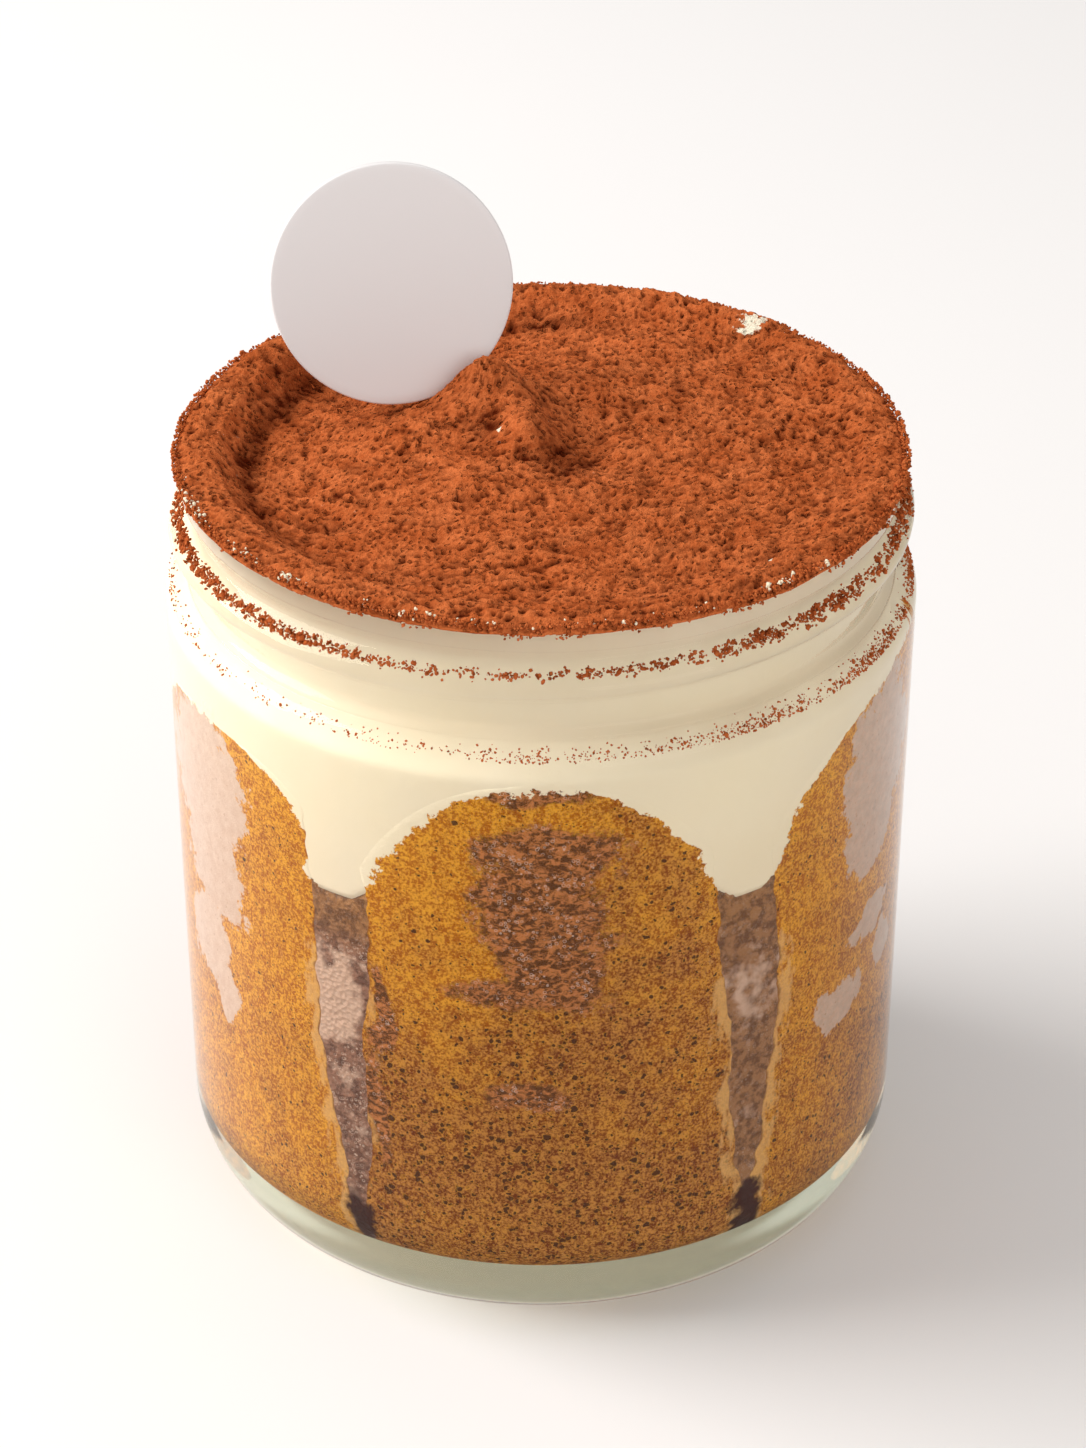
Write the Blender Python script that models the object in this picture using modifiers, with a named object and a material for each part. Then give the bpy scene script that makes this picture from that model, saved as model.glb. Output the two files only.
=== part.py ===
"""Tiramisu in a round glass jar, modelled in metres with +Z up.

The jar stands with the centre of its base at the origin, and its front faces -Y.
Six ladyfingers stand side by side against the wall, mascarpone cream fills the
middle and the neck and hangs down between their round tops, coffee syrup fills
the grooves under the cream, cocoa covers the cream and the rim, and a round tag
leans on the cocoa.

Places round the jar are azimuths in degrees: 0 is the front, +90 is +X.
"""

import bpy
import numpy as np
from mathutils import Euler, Vector

MM = 0.001
GAP = 0.3 * MM              # clearance between neighbouring pieces
WALL_GAP = 0.4 * MM         # clearance to the wall, which is faceted

# Glass jar.
BODY_RADIUS = 38.0 * MM
BODY_WALL = 2.4 * MM
HEEL_RADIUS = 9.5 * MM      # rounding between the wall and the base
BEARING_INNER = 24.5 * MM   # inner edge of the flat ring that the jar stands on
PUNT_RADIUS = 21.0 * MM
PUNT_HEIGHT = 1.4 * MM      # hollow under the base
FLOOR_Z = 7.5 * MM
INNER_HEEL = 5.5 * MM
SHOULDER_Z = 71.9 * MM
SHOULDER_ROUND = 2.5 * MM
NECK_RADIUS = 34.9 * MM
NECK_BORE = 32.4 * MM
BORE_START = 67.5 * MM      # the inside starts to narrow here ...
BORE_END = 72.5 * MM        # ... and is as narrow as the neck here
RIM_RADIUS = 35.9 * MM
RIM_Z = 84.3 * MM
RIM_ROUND = 1.2 * MM
THREAD_CREST = 37.3 * MM
THREAD_BEAD = 2.0 * MM      # radius of the thread's round section
THREAD_FRONT_Z = 77.9 * MM
THREAD_PITCH = 4.0 * MM     # rise over one turn, to the right
THREAD_END = 168.0          # the thread stops this far from the front, both ways
JAR_STEPS = 32

# Ladyfingers: (azimuth of the groove on the left, its lean, height of the top).
FINGERS = (
    (-31.2, -1.8, 69.7 * MM),
    (34.3, -0.8, 70.4 * MM),
    (92.0, 1.2, 68.6 * MM),
    (151.5, -1.5, 69.4 * MM),
    (210.0, 1.0, 67.9 * MM),
    (270.5, 1.4, 66.2 * MM),
)
LEAN_Z = 31.0 * MM          # a groove has its named azimuth at this height ...
LEAN_RUN = 20.5 * MM        # ... and moves by its lean over this height
FINGER_RADIUS = 29.0 * MM   # from the jar's axis to the middle of a finger
FINGER_HALF = 7.6 * MM      # half of a finger's thickness
SWOLLEN_HALF = 9.6 * MM     # half of its thickness at the soaked bottom
DOME_Z = 44.0 * MM          # the round top starts here
SECTION_POWER = 4.0         # 2 is an ellipse, higher is squarer
SECTION_POINTS = 16
ROOM_OVERLAP = 0.4          # degrees by which neighbouring rooms reach over a groove
DOME_STEPS = (0.3, 0.55, 0.72, 0.85, 0.94, 0.98)

# Coffee syrup in the grooves: height of the cream drip's tip above each groove.
DRIP_TIPS = (51.0 * MM, 51.2 * MM, 53.2 * MM, 50.2 * MM, 52.4 * MM, 49.6 * MM)
SYRUP_START = 11.0 * MM
DRIP_ROUND = 2.4 * MM       # the tip is this much lower than the drip's edges

# Cocoa and the surface of the cream.
TOP_Z = 84.2 * MM
COCOA_RADIUS = 36.4 * MM
COCOA_THICKNESS = 1.2 * MM
ROUND_COLUMNS = 32
RELIEF_RADII = (4.0 * MM, 8.0 * MM, 12.0 * MM, 16.0 * MM, 21.0 * MM, 27.0 * MM, NECK_BORE - GAP)

# Tag.
TAG_RADIUS = 12.25 * MM
TAG_THICKNESS = 1.4 * MM
TAG_LEAN = 16.0             # degrees back from upright
TAG_TURN = 6.0              # degrees to the right
TAG_FOOT = Vector((-14.7 * MM, 9.6 * MM, 83.9 * MM))


def smoothstep(value):
    """Ease from 0 to 1 while the value goes from 0 to 1."""
    t = np.clip(value, 0.0, 1.0)
    return t * t * (3.0 - 2.0 * t)


def arc(centre_x, centre_z, radius, start, end, steps):
    """Points of a profile along an arc, from start to end in degrees."""
    angles = np.radians(np.linspace(start, end, steps + 1))
    return [(centre_x + radius * np.cos(a), centre_z + radius * np.sin(a)) for a in angles]


def cavity_radius(z):
    """Inner radius of the jar at a height."""
    heel = np.sqrt(np.clip(INNER_HEEL ** 2 - (FLOOR_Z + INNER_HEEL - z) ** 2, 0.0, None))
    body = BODY_RADIUS - BODY_WALL
    low = np.where(z < FLOOR_Z + INNER_HEEL, body - INNER_HEEL + heel, body)
    narrowing = smoothstep((z - BORE_START) / (BORE_END - BORE_START))
    return low + (NECK_BORE - body) * narrowing


def bent(radius, azimuth, z):
    """Points at a radius, an azimuth in degrees and a height."""
    angle = np.radians(azimuth)
    columns = np.broadcast_arrays(radius * np.sin(angle), -radius * np.cos(angle), z)
    return np.stack(columns, axis=-1)


def top_height(radius, azimuth):
    """Height of the cocoa's surface: flat, with a rim land, a hollow, a mound and a trough."""
    x, y, _ = np.moveaxis(bent(radius, azimuth, 0.0), -1, 0) / MM
    across = radius / MM
    left = np.clip(np.cos(np.radians(azimuth + 112.0)), 0.0, None) ** 0.7
    land = 0.9 * np.exp(-((across - 34.4) / 1.7) ** 2)
    hollow = -2.1 * left * np.exp(-((across - 24.0) / 7.0) ** 2)
    before_tag = smoothstep((TAG_FOOT.y / MM + 0.1 * (x + 15.0) - y) / 4.0)
    mound = 4.4 * before_tag * np.exp(-((x + 5.0) ** 2 / 26.0 + (y - 7.5) ** 2 / 24.0))
    ridge = 1.4 * np.exp(-((x + 0.5) ** 2 / 14.0 + (y - 1.0) ** 2 / 24.0))
    pit = -1.2 * np.exp(-((x + 2.0) ** 2 + (y + 8.0) ** 2) / 12.0)
    trough = -0.9 * np.exp(-((x - 12.0) ** 2 / 24.0 + (y + 6.0) ** 2 / 60.0))
    return TOP_Z + (land + hollow + mound + ridge + pit + trough) * MM


def material(name, colour, roughness, transmission=0.0):
    """Principled material of one sub-part."""
    made = bpy.data.materials.new(name)
    made.use_nodes = True
    shader = made.node_tree.nodes["Principled BSDF"]
    shader.inputs["Base Color"].default_value = (*colour, 1.0)
    shader.inputs["Roughness"].default_value = roughness
    shader.inputs["Metallic"].default_value = 0.0
    shader.inputs["Transmission Weight"].default_value = transmission
    return made


def collection(name):
    """A collection in the scene."""
    made = bpy.data.collections.new(name)
    bpy.context.scene.collection.children.link(made)
    return made


def add_object(name, data, where, look=None):
    """Link an object with its material into a collection."""
    made = bpy.data.objects.new(name, data)
    where.objects.link(made)
    if look is not None:
        data.materials.append(look)
    return made


def hide_cutter(cutter):
    """Show a cutter as wires and keep it out of renders."""
    cutter.hide_render = True
    cutter.display_type = "WIRE"


def loft(name, rings, foot, tip, where, look=None):
    """A closed body through rings of points, from the foot point to the tip point.

    Rings run anticlockwise seen from above, first along the underside.
    """
    rows, columns = len(rings), len(rings[0])
    points = [tuple(p) for ring in rings for p in ring] + [tuple(foot), tuple(tip)]
    foot_index, tip_index = rows * columns, rows * columns + 1
    faces = []
    for column in range(columns):
        after = (column + 1) % columns
        last = (rows - 1) * columns
        faces.append((foot_index, after, column))
        faces.append((tip_index, last + column, last + after))
        for row in range(rows - 1):
            low, high = row * columns, (row + 1) * columns
            faces.append((low + column, low + after, high + after, high + column))
    mesh = bpy.data.meshes.new(name)
    mesh.from_pydata(points, [], faces)
    mesh.shade_smooth()
    mesh.set_sharp_from_angle(angle=np.radians(50.0))
    return add_object(name, mesh, where, look)


def jar_profile():
    """Half section of the jar, from the floor's centre over the rim to the base's centre."""
    body = BODY_RADIUS - BODY_WALL
    rim_low = RIM_Z - RIM_ROUND
    points = [(0.0, FLOOR_Z)]
    points += arc(body - INNER_HEEL, FLOOR_Z + INNER_HEEL, INNER_HEEL, -90, 0, 4)
    for z in np.linspace(BORE_START, BORE_END, 5):
        points.append((float(cavity_radius(z)), z))
    points += arc(NECK_BORE + RIM_ROUND, rim_low, RIM_ROUND, 180, 90, 3)
    points += arc(RIM_RADIUS - RIM_ROUND, rim_low, RIM_ROUND, 90, 0, 3)
    points.append((RIM_RADIUS, RIM_Z - 2.6 * MM))
    points.append((NECK_RADIUS, RIM_Z - 4.0 * MM))
    points.append((NECK_RADIUS, SHOULDER_Z + 1.2 * MM))
    points += arc(BODY_RADIUS - SHOULDER_ROUND, SHOULDER_Z - SHOULDER_ROUND, SHOULDER_ROUND, 90, 0, 4)
    points += arc(BODY_RADIUS - HEEL_RADIUS, HEEL_RADIUS, HEEL_RADIUS, 0, -90, 6)
    points.append((BEARING_INNER, 0.0))
    points.append((PUNT_RADIUS, 0.8 * PUNT_HEIGHT))
    points.append((0.0, PUNT_HEIGHT))
    return points


def make_thread(where):
    """Screw thread round the neck: a helical bead that thins out at both ends."""
    azimuths = np.linspace(-THREAD_END, THREAD_END, 33)
    heights = THREAD_FRONT_Z + THREAD_PITCH * azimuths / 360.0
    path = bent(THREAD_CREST - THREAD_BEAD, azimuths, heights)
    size = np.clip((THREAD_END - np.abs(azimuths)) / 24.0, 0.0, 1.0) ** 0.5
    curve = bpy.data.curves.new("thread_path", "CURVE")
    curve.dimensions = "3D"
    curve.bevel_depth = THREAD_BEAD
    curve.bevel_resolution = 1
    curve.use_fill_caps = True
    spline = curve.splines.new("POLY")
    spline.points.add(len(path) - 1)
    for point, place, scale in zip(spline.points, path, size):
        point.co = (*place, 1.0)
        point.radius = 0.45 + 0.55 * scale
    guide = add_object("thread_guide", curve, where)
    evaluated = guide.evaluated_get(bpy.context.evaluated_depsgraph_get())
    mesh = bpy.data.meshes.new_from_object(evaluated)
    bpy.data.objects.remove(guide)
    thread = add_object("thread_bead", mesh, where)
    weld = thread.modifiers.new("close_caps", "WELD")
    weld.merge_threshold = 0.00001
    hide_cutter(thread)
    return thread


def make_jar(where, cutters):
    """Glass jar: a turned body with the thread joined on."""
    profile = jar_profile()
    mesh = bpy.data.meshes.new("jar")
    edges = [(i, i + 1) for i in range(len(profile) - 1)]
    mesh.from_pydata([(x, 0.0, z) for x, z in profile], edges, [])
    jar = add_object("jar", mesh, where, material("jar_glass", (0.93, 0.95, 0.92), 0.04, 1.0))
    screw = jar.modifiers.new("turn", "SCREW")
    screw.axis = "Z"
    screw.steps = JAR_STEPS
    screw.render_steps = JAR_STEPS
    screw.use_merge_vertices = True
    screw.merge_threshold = 0.00001
    screw.use_smooth_shade = True
    join = jar.modifiers.new("thread", "BOOLEAN")
    join.operation = "UNION"
    join.object = make_thread(cutters)


def groove_azimuth(index, z):
    """Azimuth of the groove to the left of a finger at a height."""
    azimuth, lean, _ = FINGERS[index % len(FINGERS)]
    turns = 360.0 * (index // len(FINGERS))
    return azimuth + turns + lean * (z - LEAN_Z) / LEAN_RUN


def finger_span(index, z):
    """Azimuth of a finger's middle, and half of the room that it has."""
    left, right = groove_azimuth(index, z), groove_azimuth(index + 1, z)
    return (left + right) / 2.0, (right - left) / 2.0


def finger_size(index, z, grow):
    """Half width in degrees and half thickness of a finger at a height."""
    top = FINGERS[index % len(FINGERS)][2] + grow
    rise = np.clip((z - DOME_Z) / (top - DOME_Z), 0.0, 1.0)
    swell = np.clip((DOME_Z - z) / (DOME_Z - FLOOR_Z), 0.0, 1.0)
    clearance = np.degrees((GAP / 2.0 - grow) / FINGER_RADIUS)
    half_width = (finger_span(index, z)[1] - clearance) * (1.0 - rise ** 3) ** (1 / 3)
    half_thickness = FINGER_HALF + (SWOLLEN_HALF - FINGER_HALF) * swell + grow
    return half_width, half_thickness * (1.0 - rise ** 5) ** (1 / 4)


def finger_ring(index, z):
    """Section of a finger: a square-shouldered oval bent round the jar and pressed to its wall."""
    across, inward = oval_section()
    half_width, half_thickness = finger_size(index, z, 0.0)
    radius = FINGER_RADIUS - half_thickness * inward
    radius = np.minimum(radius, cavity_radius(z) - WALL_GAP)
    return bent(radius, finger_span(index, z)[0] + half_width * across, z)


def room_ring(index, z):
    """Section of the room cut from the cream for a finger.

    Below the drips its outer corners are square and reach over the grooves, so the
    room of the syrup is cut too. Above them it is the finger, grown by the gap.
    """
    across, inward = oval_section()
    middle, half_span = finger_span(index, z)
    half_width, half_thickness = finger_size(index, z, GAP)
    tips = np.where(across < 0.0, DRIP_TIPS[index], DRIP_TIPS[(index + 1) % len(FINGERS)])
    square = np.clip((tips + DRIP_ROUND - z) / DRIP_ROUND, 0.0, 1.0) * (inward < 0.0)
    wide = np.sign(across) * np.minimum(np.abs(across) * 1.2, 1.0) * (half_span + ROOM_OVERLAP)
    offset = half_width * across * (1.0 - square) + wide * square
    radius = FINGER_RADIUS - half_thickness * inward * (1.0 + 0.15 * square)
    return bent(radius, middle + offset, z)


def oval_section():
    """Unit section of a finger as two arrays: along the wall, and towards the jar's axis."""
    angles = np.radians(np.linspace(0.0, 360.0, SECTION_POINTS, endpoint=False) + 180.0 / SECTION_POINTS)
    power = 2.0 / SECTION_POWER
    across = np.sign(np.cos(angles)) * np.abs(np.cos(angles)) ** power
    inward = np.sign(np.sin(angles)) * np.abs(np.sin(angles)) ** power
    return across, inward


def make_finger(index, where, look):
    """Ladyfinger with a flat foot and a round top."""
    top = FINGERS[index][2]
    low = (FLOOR_Z + GAP, FLOOR_Z + 1.4 * MM, FLOOR_Z + 3.0 * MM, FLOOR_Z + INNER_HEEL, DOME_Z)
    levels = list(low) + [DOME_Z + (top - DOME_Z) * step for step in DOME_STEPS]
    rings = [finger_ring(index, z) for z in levels]
    ends = [bent(FINGER_RADIUS, finger_span(index, z)[0], z) for z in (levels[0], top)]
    loft(f"ladyfinger_{index + 1}", rings, ends[0], ends[1], where, look)


def make_finger_room(index, where):
    """Cutter for a finger and for half of the groove on each side of it."""
    top = FINGERS[index][2] + GAP
    drips = [DRIP_TIPS[index], DRIP_TIPS[(index + 1) % len(FINGERS)]]
    drips += [tip + DRIP_ROUND for tip in drips]
    levels = [FLOOR_Z - GAP, FLOOR_Z + INNER_HEEL, DOME_Z] + sorted(drips)
    levels += [DOME_Z + (top - DOME_Z) * step for step in DOME_STEPS if step > 0.5]
    rings = [room_ring(index, z) for z in levels]
    ends = [bent(FINGER_RADIUS, finger_span(index, z)[0], z) for z in (levels[0], top)]
    room = loft(f"finger_room_{index + 1}", rings, ends[0], ends[1], where)
    hide_cutter(room)
    return room


def groove_half(index, radius, z):
    """Degrees from a groove's middle to the finger on its right, at a radius and a height."""
    half_width, half_thickness = finger_size(index, z, 0.0)
    reach = np.minimum(radius, BODY_RADIUS - BODY_WALL) - FINGER_RADIUS
    inside = np.clip(reach / half_thickness, 0.0, 1.0)
    oval = (1.0 - inside ** SECTION_POWER) ** (1.0 / SECTION_POWER)
    return finger_span(index, z)[1] - half_width * oval


def groove_floor(index, z):
    """Radius at which a groove is just wide enough for syrup."""
    radii = np.linspace(FINGER_RADIUS, BODY_RADIUS, 200)
    wide = np.radians(groove_half(index, radii, z)) * radii > 1.6 * GAP
    return radii[np.argmax(wide)]


def syrup_ring(index, z, lift):
    """Section of the syrup: a thin wedge between two round fingers and the wall."""
    outer = cavity_radius(z) - WALL_GAP
    radii = np.linspace(groove_floor(index, z), outer, 4)
    edge_z = z + lift
    middle = groove_azimuth(index, edge_z)
    sides = []
    for finger, side in ((index - 1, -1.0), (index, 1.0)):
        half = groove_half(finger, radii, edge_z) - np.degrees(GAP / radii)
        sides.append(bent(radii, middle + side * half, edge_z))
    front = bent(outer, groove_azimuth(index, z), z)
    return np.concatenate([sides[0], [front], sides[1][::-1]])


def make_syrup(index, where, look):
    """Coffee syrup that fills a groove up to the drip of cream."""
    top = DRIP_TIPS[index] - 3.0 * GAP
    levels = (SYRUP_START, 14.0 * MM, 20.0 * MM, 28.0 * MM, 36.0 * MM, DOME_Z)
    rings = [syrup_ring(index, z, 0.0) for z in levels] + [syrup_ring(index, top, 0.8 * DRIP_ROUND)]
    ends = []
    for z in (SYRUP_START, top):
        middle = (groove_floor(index, z) + cavity_radius(z)) / 2.0
        ends.append(bent(middle, groove_azimuth(index, z), z))
    loft(f"coffee_syrup_{index + 1}", rings, ends[0], ends[1], where, look)


def make_cream(where, cutters):
    """Mascarpone cream: fills the jar up to its relief, less the room of fingers and syrup."""
    azimuths = np.linspace(0.0, 360.0, ROUND_COLUMNS, endpoint=False)
    heights = [FLOOR_Z + GAP, FLOOR_Z + 1.4 * MM, FLOOR_Z + 3.0 * MM, FLOOR_Z + INNER_HEEL]
    heights += list(np.linspace(BORE_START, BORE_END, 5))
    rings = [bent(cavity_radius(z) - GAP, azimuths, z) for z in heights]
    for radius in reversed(RELIEF_RADII):
        surface = top_height(radius, azimuths) - COCOA_THICKNESS - 2.0 * GAP
        rings.append(bent(radius, azimuths, surface))
    foot = (0.0, 0.0, FLOOR_Z + GAP)
    tip = (0.0, 0.0, float(top_height(0.0, 0.0)) - COCOA_THICKNESS - 2.0 * GAP)
    look = material("mascarpone", (0.86, 0.78, 0.6), 0.45)
    cream = loft("mascarpone_cream", rings, foot, tip, where, look)
    for index in range(len(FINGERS)):
        cut = cream.modifiers.new(f"finger_room_{index + 1}", "BOOLEAN")
        cut.operation = "DIFFERENCE"
        cut.object = make_finger_room(index, cutters)


def make_cocoa(where):
    """Cocoa layer over the cream and the rim, a little uneven along its edge."""
    azimuths = np.linspace(0.0, 360.0, ROUND_COLUMNS, endpoint=False)
    uneven = 0.25 * MM * np.sin(np.radians(azimuths * 7.0)) * np.cos(np.radians(azimuths * 3.0))
    rings = []
    for radius in RELIEF_RADII:
        surface = top_height(radius, azimuths) - COCOA_THICKNESS
        rings.append(bent(radius, azimuths, surface))
    lip_z = RIM_Z - RIM_ROUND
    for radius, z in arc(NECK_BORE + RIM_ROUND, lip_z, RIM_ROUND + 1.2 * GAP, 165, 90, 2):
        rings.append(bent(radius, azimuths, z))
    rings.append(bent(RIM_RADIUS - RIM_ROUND, azimuths, RIM_Z + 1.2 * GAP))
    rings.append(bent(COCOA_RADIUS + uneven, azimuths, RIM_Z - 0.1 * MM))
    rings.append(bent(COCOA_RADIUS + uneven, azimuths, RIM_Z + 0.5 * MM))
    for radius in (35.2, 33.8, 31.5, 27.0, 21.0, 16.0, 12.0, 8.0, 4.0):
        rings.append(bent(radius * MM, azimuths, top_height(radius * MM, azimuths)))
    middle = float(top_height(0.0, 0.0))
    foot, tip = (0.0, 0.0, middle - COCOA_THICKNESS), (0.0, 0.0, middle)
    look = material("cocoa", (0.33, 0.085, 0.035), 0.95)
    loft("cocoa_layer", rings, foot, tip, where, look)


def make_tag(where):
    """Round tag that leans back, its lower edge just over the cocoa."""
    bpy.ops.mesh.primitive_cylinder_add(vertices=40, radius=TAG_RADIUS, depth=TAG_THICKNESS)
    tag = bpy.context.active_object
    tag.name = "round_tag"
    tag.data.name = "round_tag"
    for holder in tag.users_collection:
        holder.objects.unlink(tag)
    where.objects.link(tag)
    tag.data.materials.append(material("tag_card", (0.8, 0.77, 0.77), 0.4))
    tag.data.shade_smooth()
    tag.data.set_sharp_from_angle(angle=np.radians(50.0))
    turn = Euler((np.radians(90.0 - TAG_LEAN), 0.0, np.radians(TAG_TURN)), "XYZ")
    tag.rotation_euler = turn
    up = turn.to_matrix() @ Vector((0.0, 1.0, 0.0))
    tag.location = TAG_FOOT + up * TAG_RADIUS
    bevel = tag.modifiers.new("soft_edge", "BEVEL")
    bevel.width = 0.25 * MM
    bevel.segments = 1
    bevel.limit_method = "ANGLE"


def build():
    """Clear the scene and make every piece."""
    for old in list(bpy.data.objects):
        bpy.data.objects.remove(old)
    parts = collection("tiramisu_jar")
    cutters = collection("cutters")
    make_jar(parts, cutters)
    make_cream(parts, cutters)
    sponge = material("soaked_ladyfinger", (0.5, 0.24, 0.06), 0.6)
    coffee = material("coffee_syrup", (0.2, 0.11, 0.09), 0.35)
    for index in range(len(FINGERS)):
        make_finger(index, parts, sponge)
        make_syrup(index, parts, coffee)
    make_cocoa(parts)
    make_tag(parts)


build()
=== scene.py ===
"""Looks of the tiramisu jar: fine meshes and procedural materials over the CAD frame.

Places round the jar are azimuths in degrees: 0 is the front, +90 is +X. Shapes are
worked out in millimetres and go into the meshes in metres.
"""

import bpy
import numpy as np
from bpy.props import FloatProperty, FloatVectorProperty, IntProperty, PointerProperty
from bpy.types import Operator, Panel, PropertyGroup
from mathutils import Euler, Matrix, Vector


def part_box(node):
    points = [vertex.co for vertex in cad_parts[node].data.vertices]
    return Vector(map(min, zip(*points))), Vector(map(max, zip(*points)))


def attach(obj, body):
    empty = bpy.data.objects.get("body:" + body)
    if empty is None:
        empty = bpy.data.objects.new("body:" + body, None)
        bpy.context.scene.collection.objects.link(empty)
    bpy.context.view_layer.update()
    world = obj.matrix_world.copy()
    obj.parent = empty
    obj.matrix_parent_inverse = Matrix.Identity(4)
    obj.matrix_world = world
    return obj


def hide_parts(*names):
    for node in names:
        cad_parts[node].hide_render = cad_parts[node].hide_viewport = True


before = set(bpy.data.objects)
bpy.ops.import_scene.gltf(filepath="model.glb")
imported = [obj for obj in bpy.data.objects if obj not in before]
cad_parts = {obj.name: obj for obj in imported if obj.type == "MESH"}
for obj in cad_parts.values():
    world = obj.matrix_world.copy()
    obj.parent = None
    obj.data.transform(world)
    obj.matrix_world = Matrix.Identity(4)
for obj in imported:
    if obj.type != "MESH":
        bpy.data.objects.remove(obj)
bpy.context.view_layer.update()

bl_info = {
    "name": "Tiramisu Jar",
    "version": (1, 0, 0),
    "blender": (4, 5, 0),
    "location": "View3D > Sidebar > Tiramisu",
    "description": "Builds a jar of tiramisu with cocoa, cream and soaked ladyfingers",
    "category": "Add Mesh",
}

MM = 0.001
DEGREES_TO_MM = 0.62         # arc of one degree on the inside of the wall


# ---------------------------------------------------------------- settings


def length(name, description, millimetres):
    """A length property with a default in millimetres."""
    return FloatProperty(
        name=name, description=description, default=millimetres * MM, unit="LENGTH", subtype="DISTANCE"
    )


def colour(name, description, default):
    """A linear colour property."""
    return FloatVectorProperty(
        name=name, description=description, default=default, size=3, subtype="COLOR", min=0.0, max=1.0
    )


class TiramisuSizes(PropertyGroup):
    """Sizes of the jar and its contents."""

    wall: length("Wall", "Thickness of the jar's wall", 2.4)
    floor: length("Floor", "Thickness of the glass under the contents", 7.5)
    heel: length("Heel", "Rounding between the wall and the base", 9.5)
    inner_heel: length("Inner heel", "Rounding between the inside wall and the floor", 5.5)
    shoulder: length("Shoulder", "Height of the shoulder", 71.9)
    shoulder_round: length("Shoulder rounding", "Radius of the shoulder's corner", 2.5)
    neck: length("Neck", "Outer radius of the neck under the thread", 34.9)
    bore: length("Bore", "Inner radius of the neck", 32.4)
    rim: length("Rim", "Outer radius of the rim", 35.9)
    thread_crest: length("Thread crest", "Outer radius of the screw thread", 37.3)
    thread_height: length("Thread height", "Height of the thread at the front", 77.9)
    thread_pitch: length("Thread pitch", "Rise of the thread over one turn", 4.0)
    contact: length("Contact", "How far the contents reach into the wall", 0.1)
    cocoa_radius: length("Cocoa radius", "Radius of the cocoa layer", 36.35)
    pit_pitch: length("Pit pitch", "Distance between the pits in the cocoa", 0.9)
    pit_depth: length("Pit depth", "Depth of the pits in the cocoa", 0.45)
    grain: length("Grain", "Usual size of a loose cocoa grain", 0.24)
    columns: IntProperty(name="Columns", description="Points round the jar", default=240, min=48)
    tag_radius: length("Tag radius", "Radius of the round tag", 12.25)
    tag_lean: FloatProperty(
        name="Tag lean", description="Tag's lean from upright", default=np.radians(16.0), subtype="ANGLE"
    )
    tag_turn: FloatProperty(
        name="Tag turn", description="Tag's turn to the right", default=np.radians(6.0), subtype="ANGLE"
    )


class TiramisuColours(PropertyGroup):
    """Colours of the materials."""

    glass: colour("Glass", "Tint of the wall", (0.985, 0.99, 0.98))
    glass_base: colour("Glass base", "Tint of the thick base", (0.93, 0.965, 0.935))
    cream: colour("Cream", "Mascarpone cream", (0.90, 0.81, 0.63))
    amber: colour("Amber", "Wet sponge, light", (0.78, 0.37, 0.025))
    amber_dark: colour("Dark amber", "Wet sponge, dark", (0.42, 0.115, 0.002))
    soaked: colour("Soaked", "Soaked sponge near the floor, light", (0.56, 0.235, 0.04))
    soaked_dark: colour("Dark soaked", "Soaked sponge near the floor, dark", (0.16, 0.032, 0.002))
    pore: colour("Pore", "Pores in the sponge", (0.045, 0.009, 0.002))
    tan: colour("Tan", "Pale edge of a ladyfinger", (0.74, 0.42, 0.14))
    haze: colour("Haze", "Sponge that stands off the glass, pale", (0.68, 0.51, 0.40))
    dry: colour("Dry", "Sponge that stands off the glass, brown", (0.31, 0.105, 0.022))
    syrup: colour("Syrup", "Bubbly coffee in the grooves", (0.30, 0.15, 0.095))
    coffee: colour("Coffee", "Coffee at the floor", (0.045, 0.009, 0.004))
    cocoa: colour("Cocoa", "Lit cocoa", (0.58, 0.138, 0.036))
    # Painted shade: this dark cocoa colour is laid into the pits, folds and hollows where shade falls.
    cocoa_pit_shade: colour("Dark cocoa", "Cocoa in the pits", (0.075, 0.008, 0.001))
    dried: colour("Dried syrup", "Syrup that dried to a film", (0.36, 0.17, 0.065))
    # Painted glow: emission colour laid under the contents in place of light through the glass base.
    underside: colour("Underside", "Glow under the contents", (0.75, 0.85, 0.74))
    tag: colour("Tag", "Face of the tag", (0.80, 0.77, 0.765))
    floor: colour("Floor", "Ground and backdrop", (0.87, 0.85, 0.84))


# ---------------------------------------------------------------- camera

CAMERA_LENS = 90.4                            # focal length in millimetres
CAMERA_ELEVATION = np.radians(32.12)          # above the table
CAMERA_DISTANCE = 0.3788                      # metres from where it aims
CAMERA_AIM = 0.6104                           # share of the jar's height at which it aims


# ---------------------------------------------------------------- noise


def hashed(ix, iy, iz, seed):
    """Random value from -1 to 1 for each cell of a whole-number lattice."""
    cell = ix.astype(np.int64) * 374761393 + iy.astype(np.int64) * 668265263
    cell = (cell + iz.astype(np.int64) * 2246822519 + seed * 3266489917) & 0xFFFFFFFF
    cell = ((cell ^ (cell >> 13)) * 1274126177) & 0xFFFFFFFF
    cell = cell ^ (cell >> 16)
    return (cell & 0xFFFFFF) / float(0x7FFFFF) - 1.0


def noise(x, y, z=0.0, seed=0):
    """Smooth noise from -1 to 1: random values on a unit lattice, eased in between."""
    x, y, z = np.broadcast_arrays(np.asarray(x, float), y, z)
    ix, iy, iz = np.floor(x), np.floor(y), np.floor(z)
    fx, fy, fz = x - ix, y - iy, z - iz
    fx, fy, fz = (f * f * (3.0 - 2.0 * f) for f in (fx, fy, fz))
    total = 0.0
    for dx in (0, 1):
        for dy in (0, 1):
            for dz in (0, 1):
                weight = (fx if dx else 1 - fx) * (fy if dy else 1 - fy) * (fz if dz else 1 - fz)
                total = total + weight * hashed(ix + dx, iy + dy, iz + dz, seed)
    return total


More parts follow.
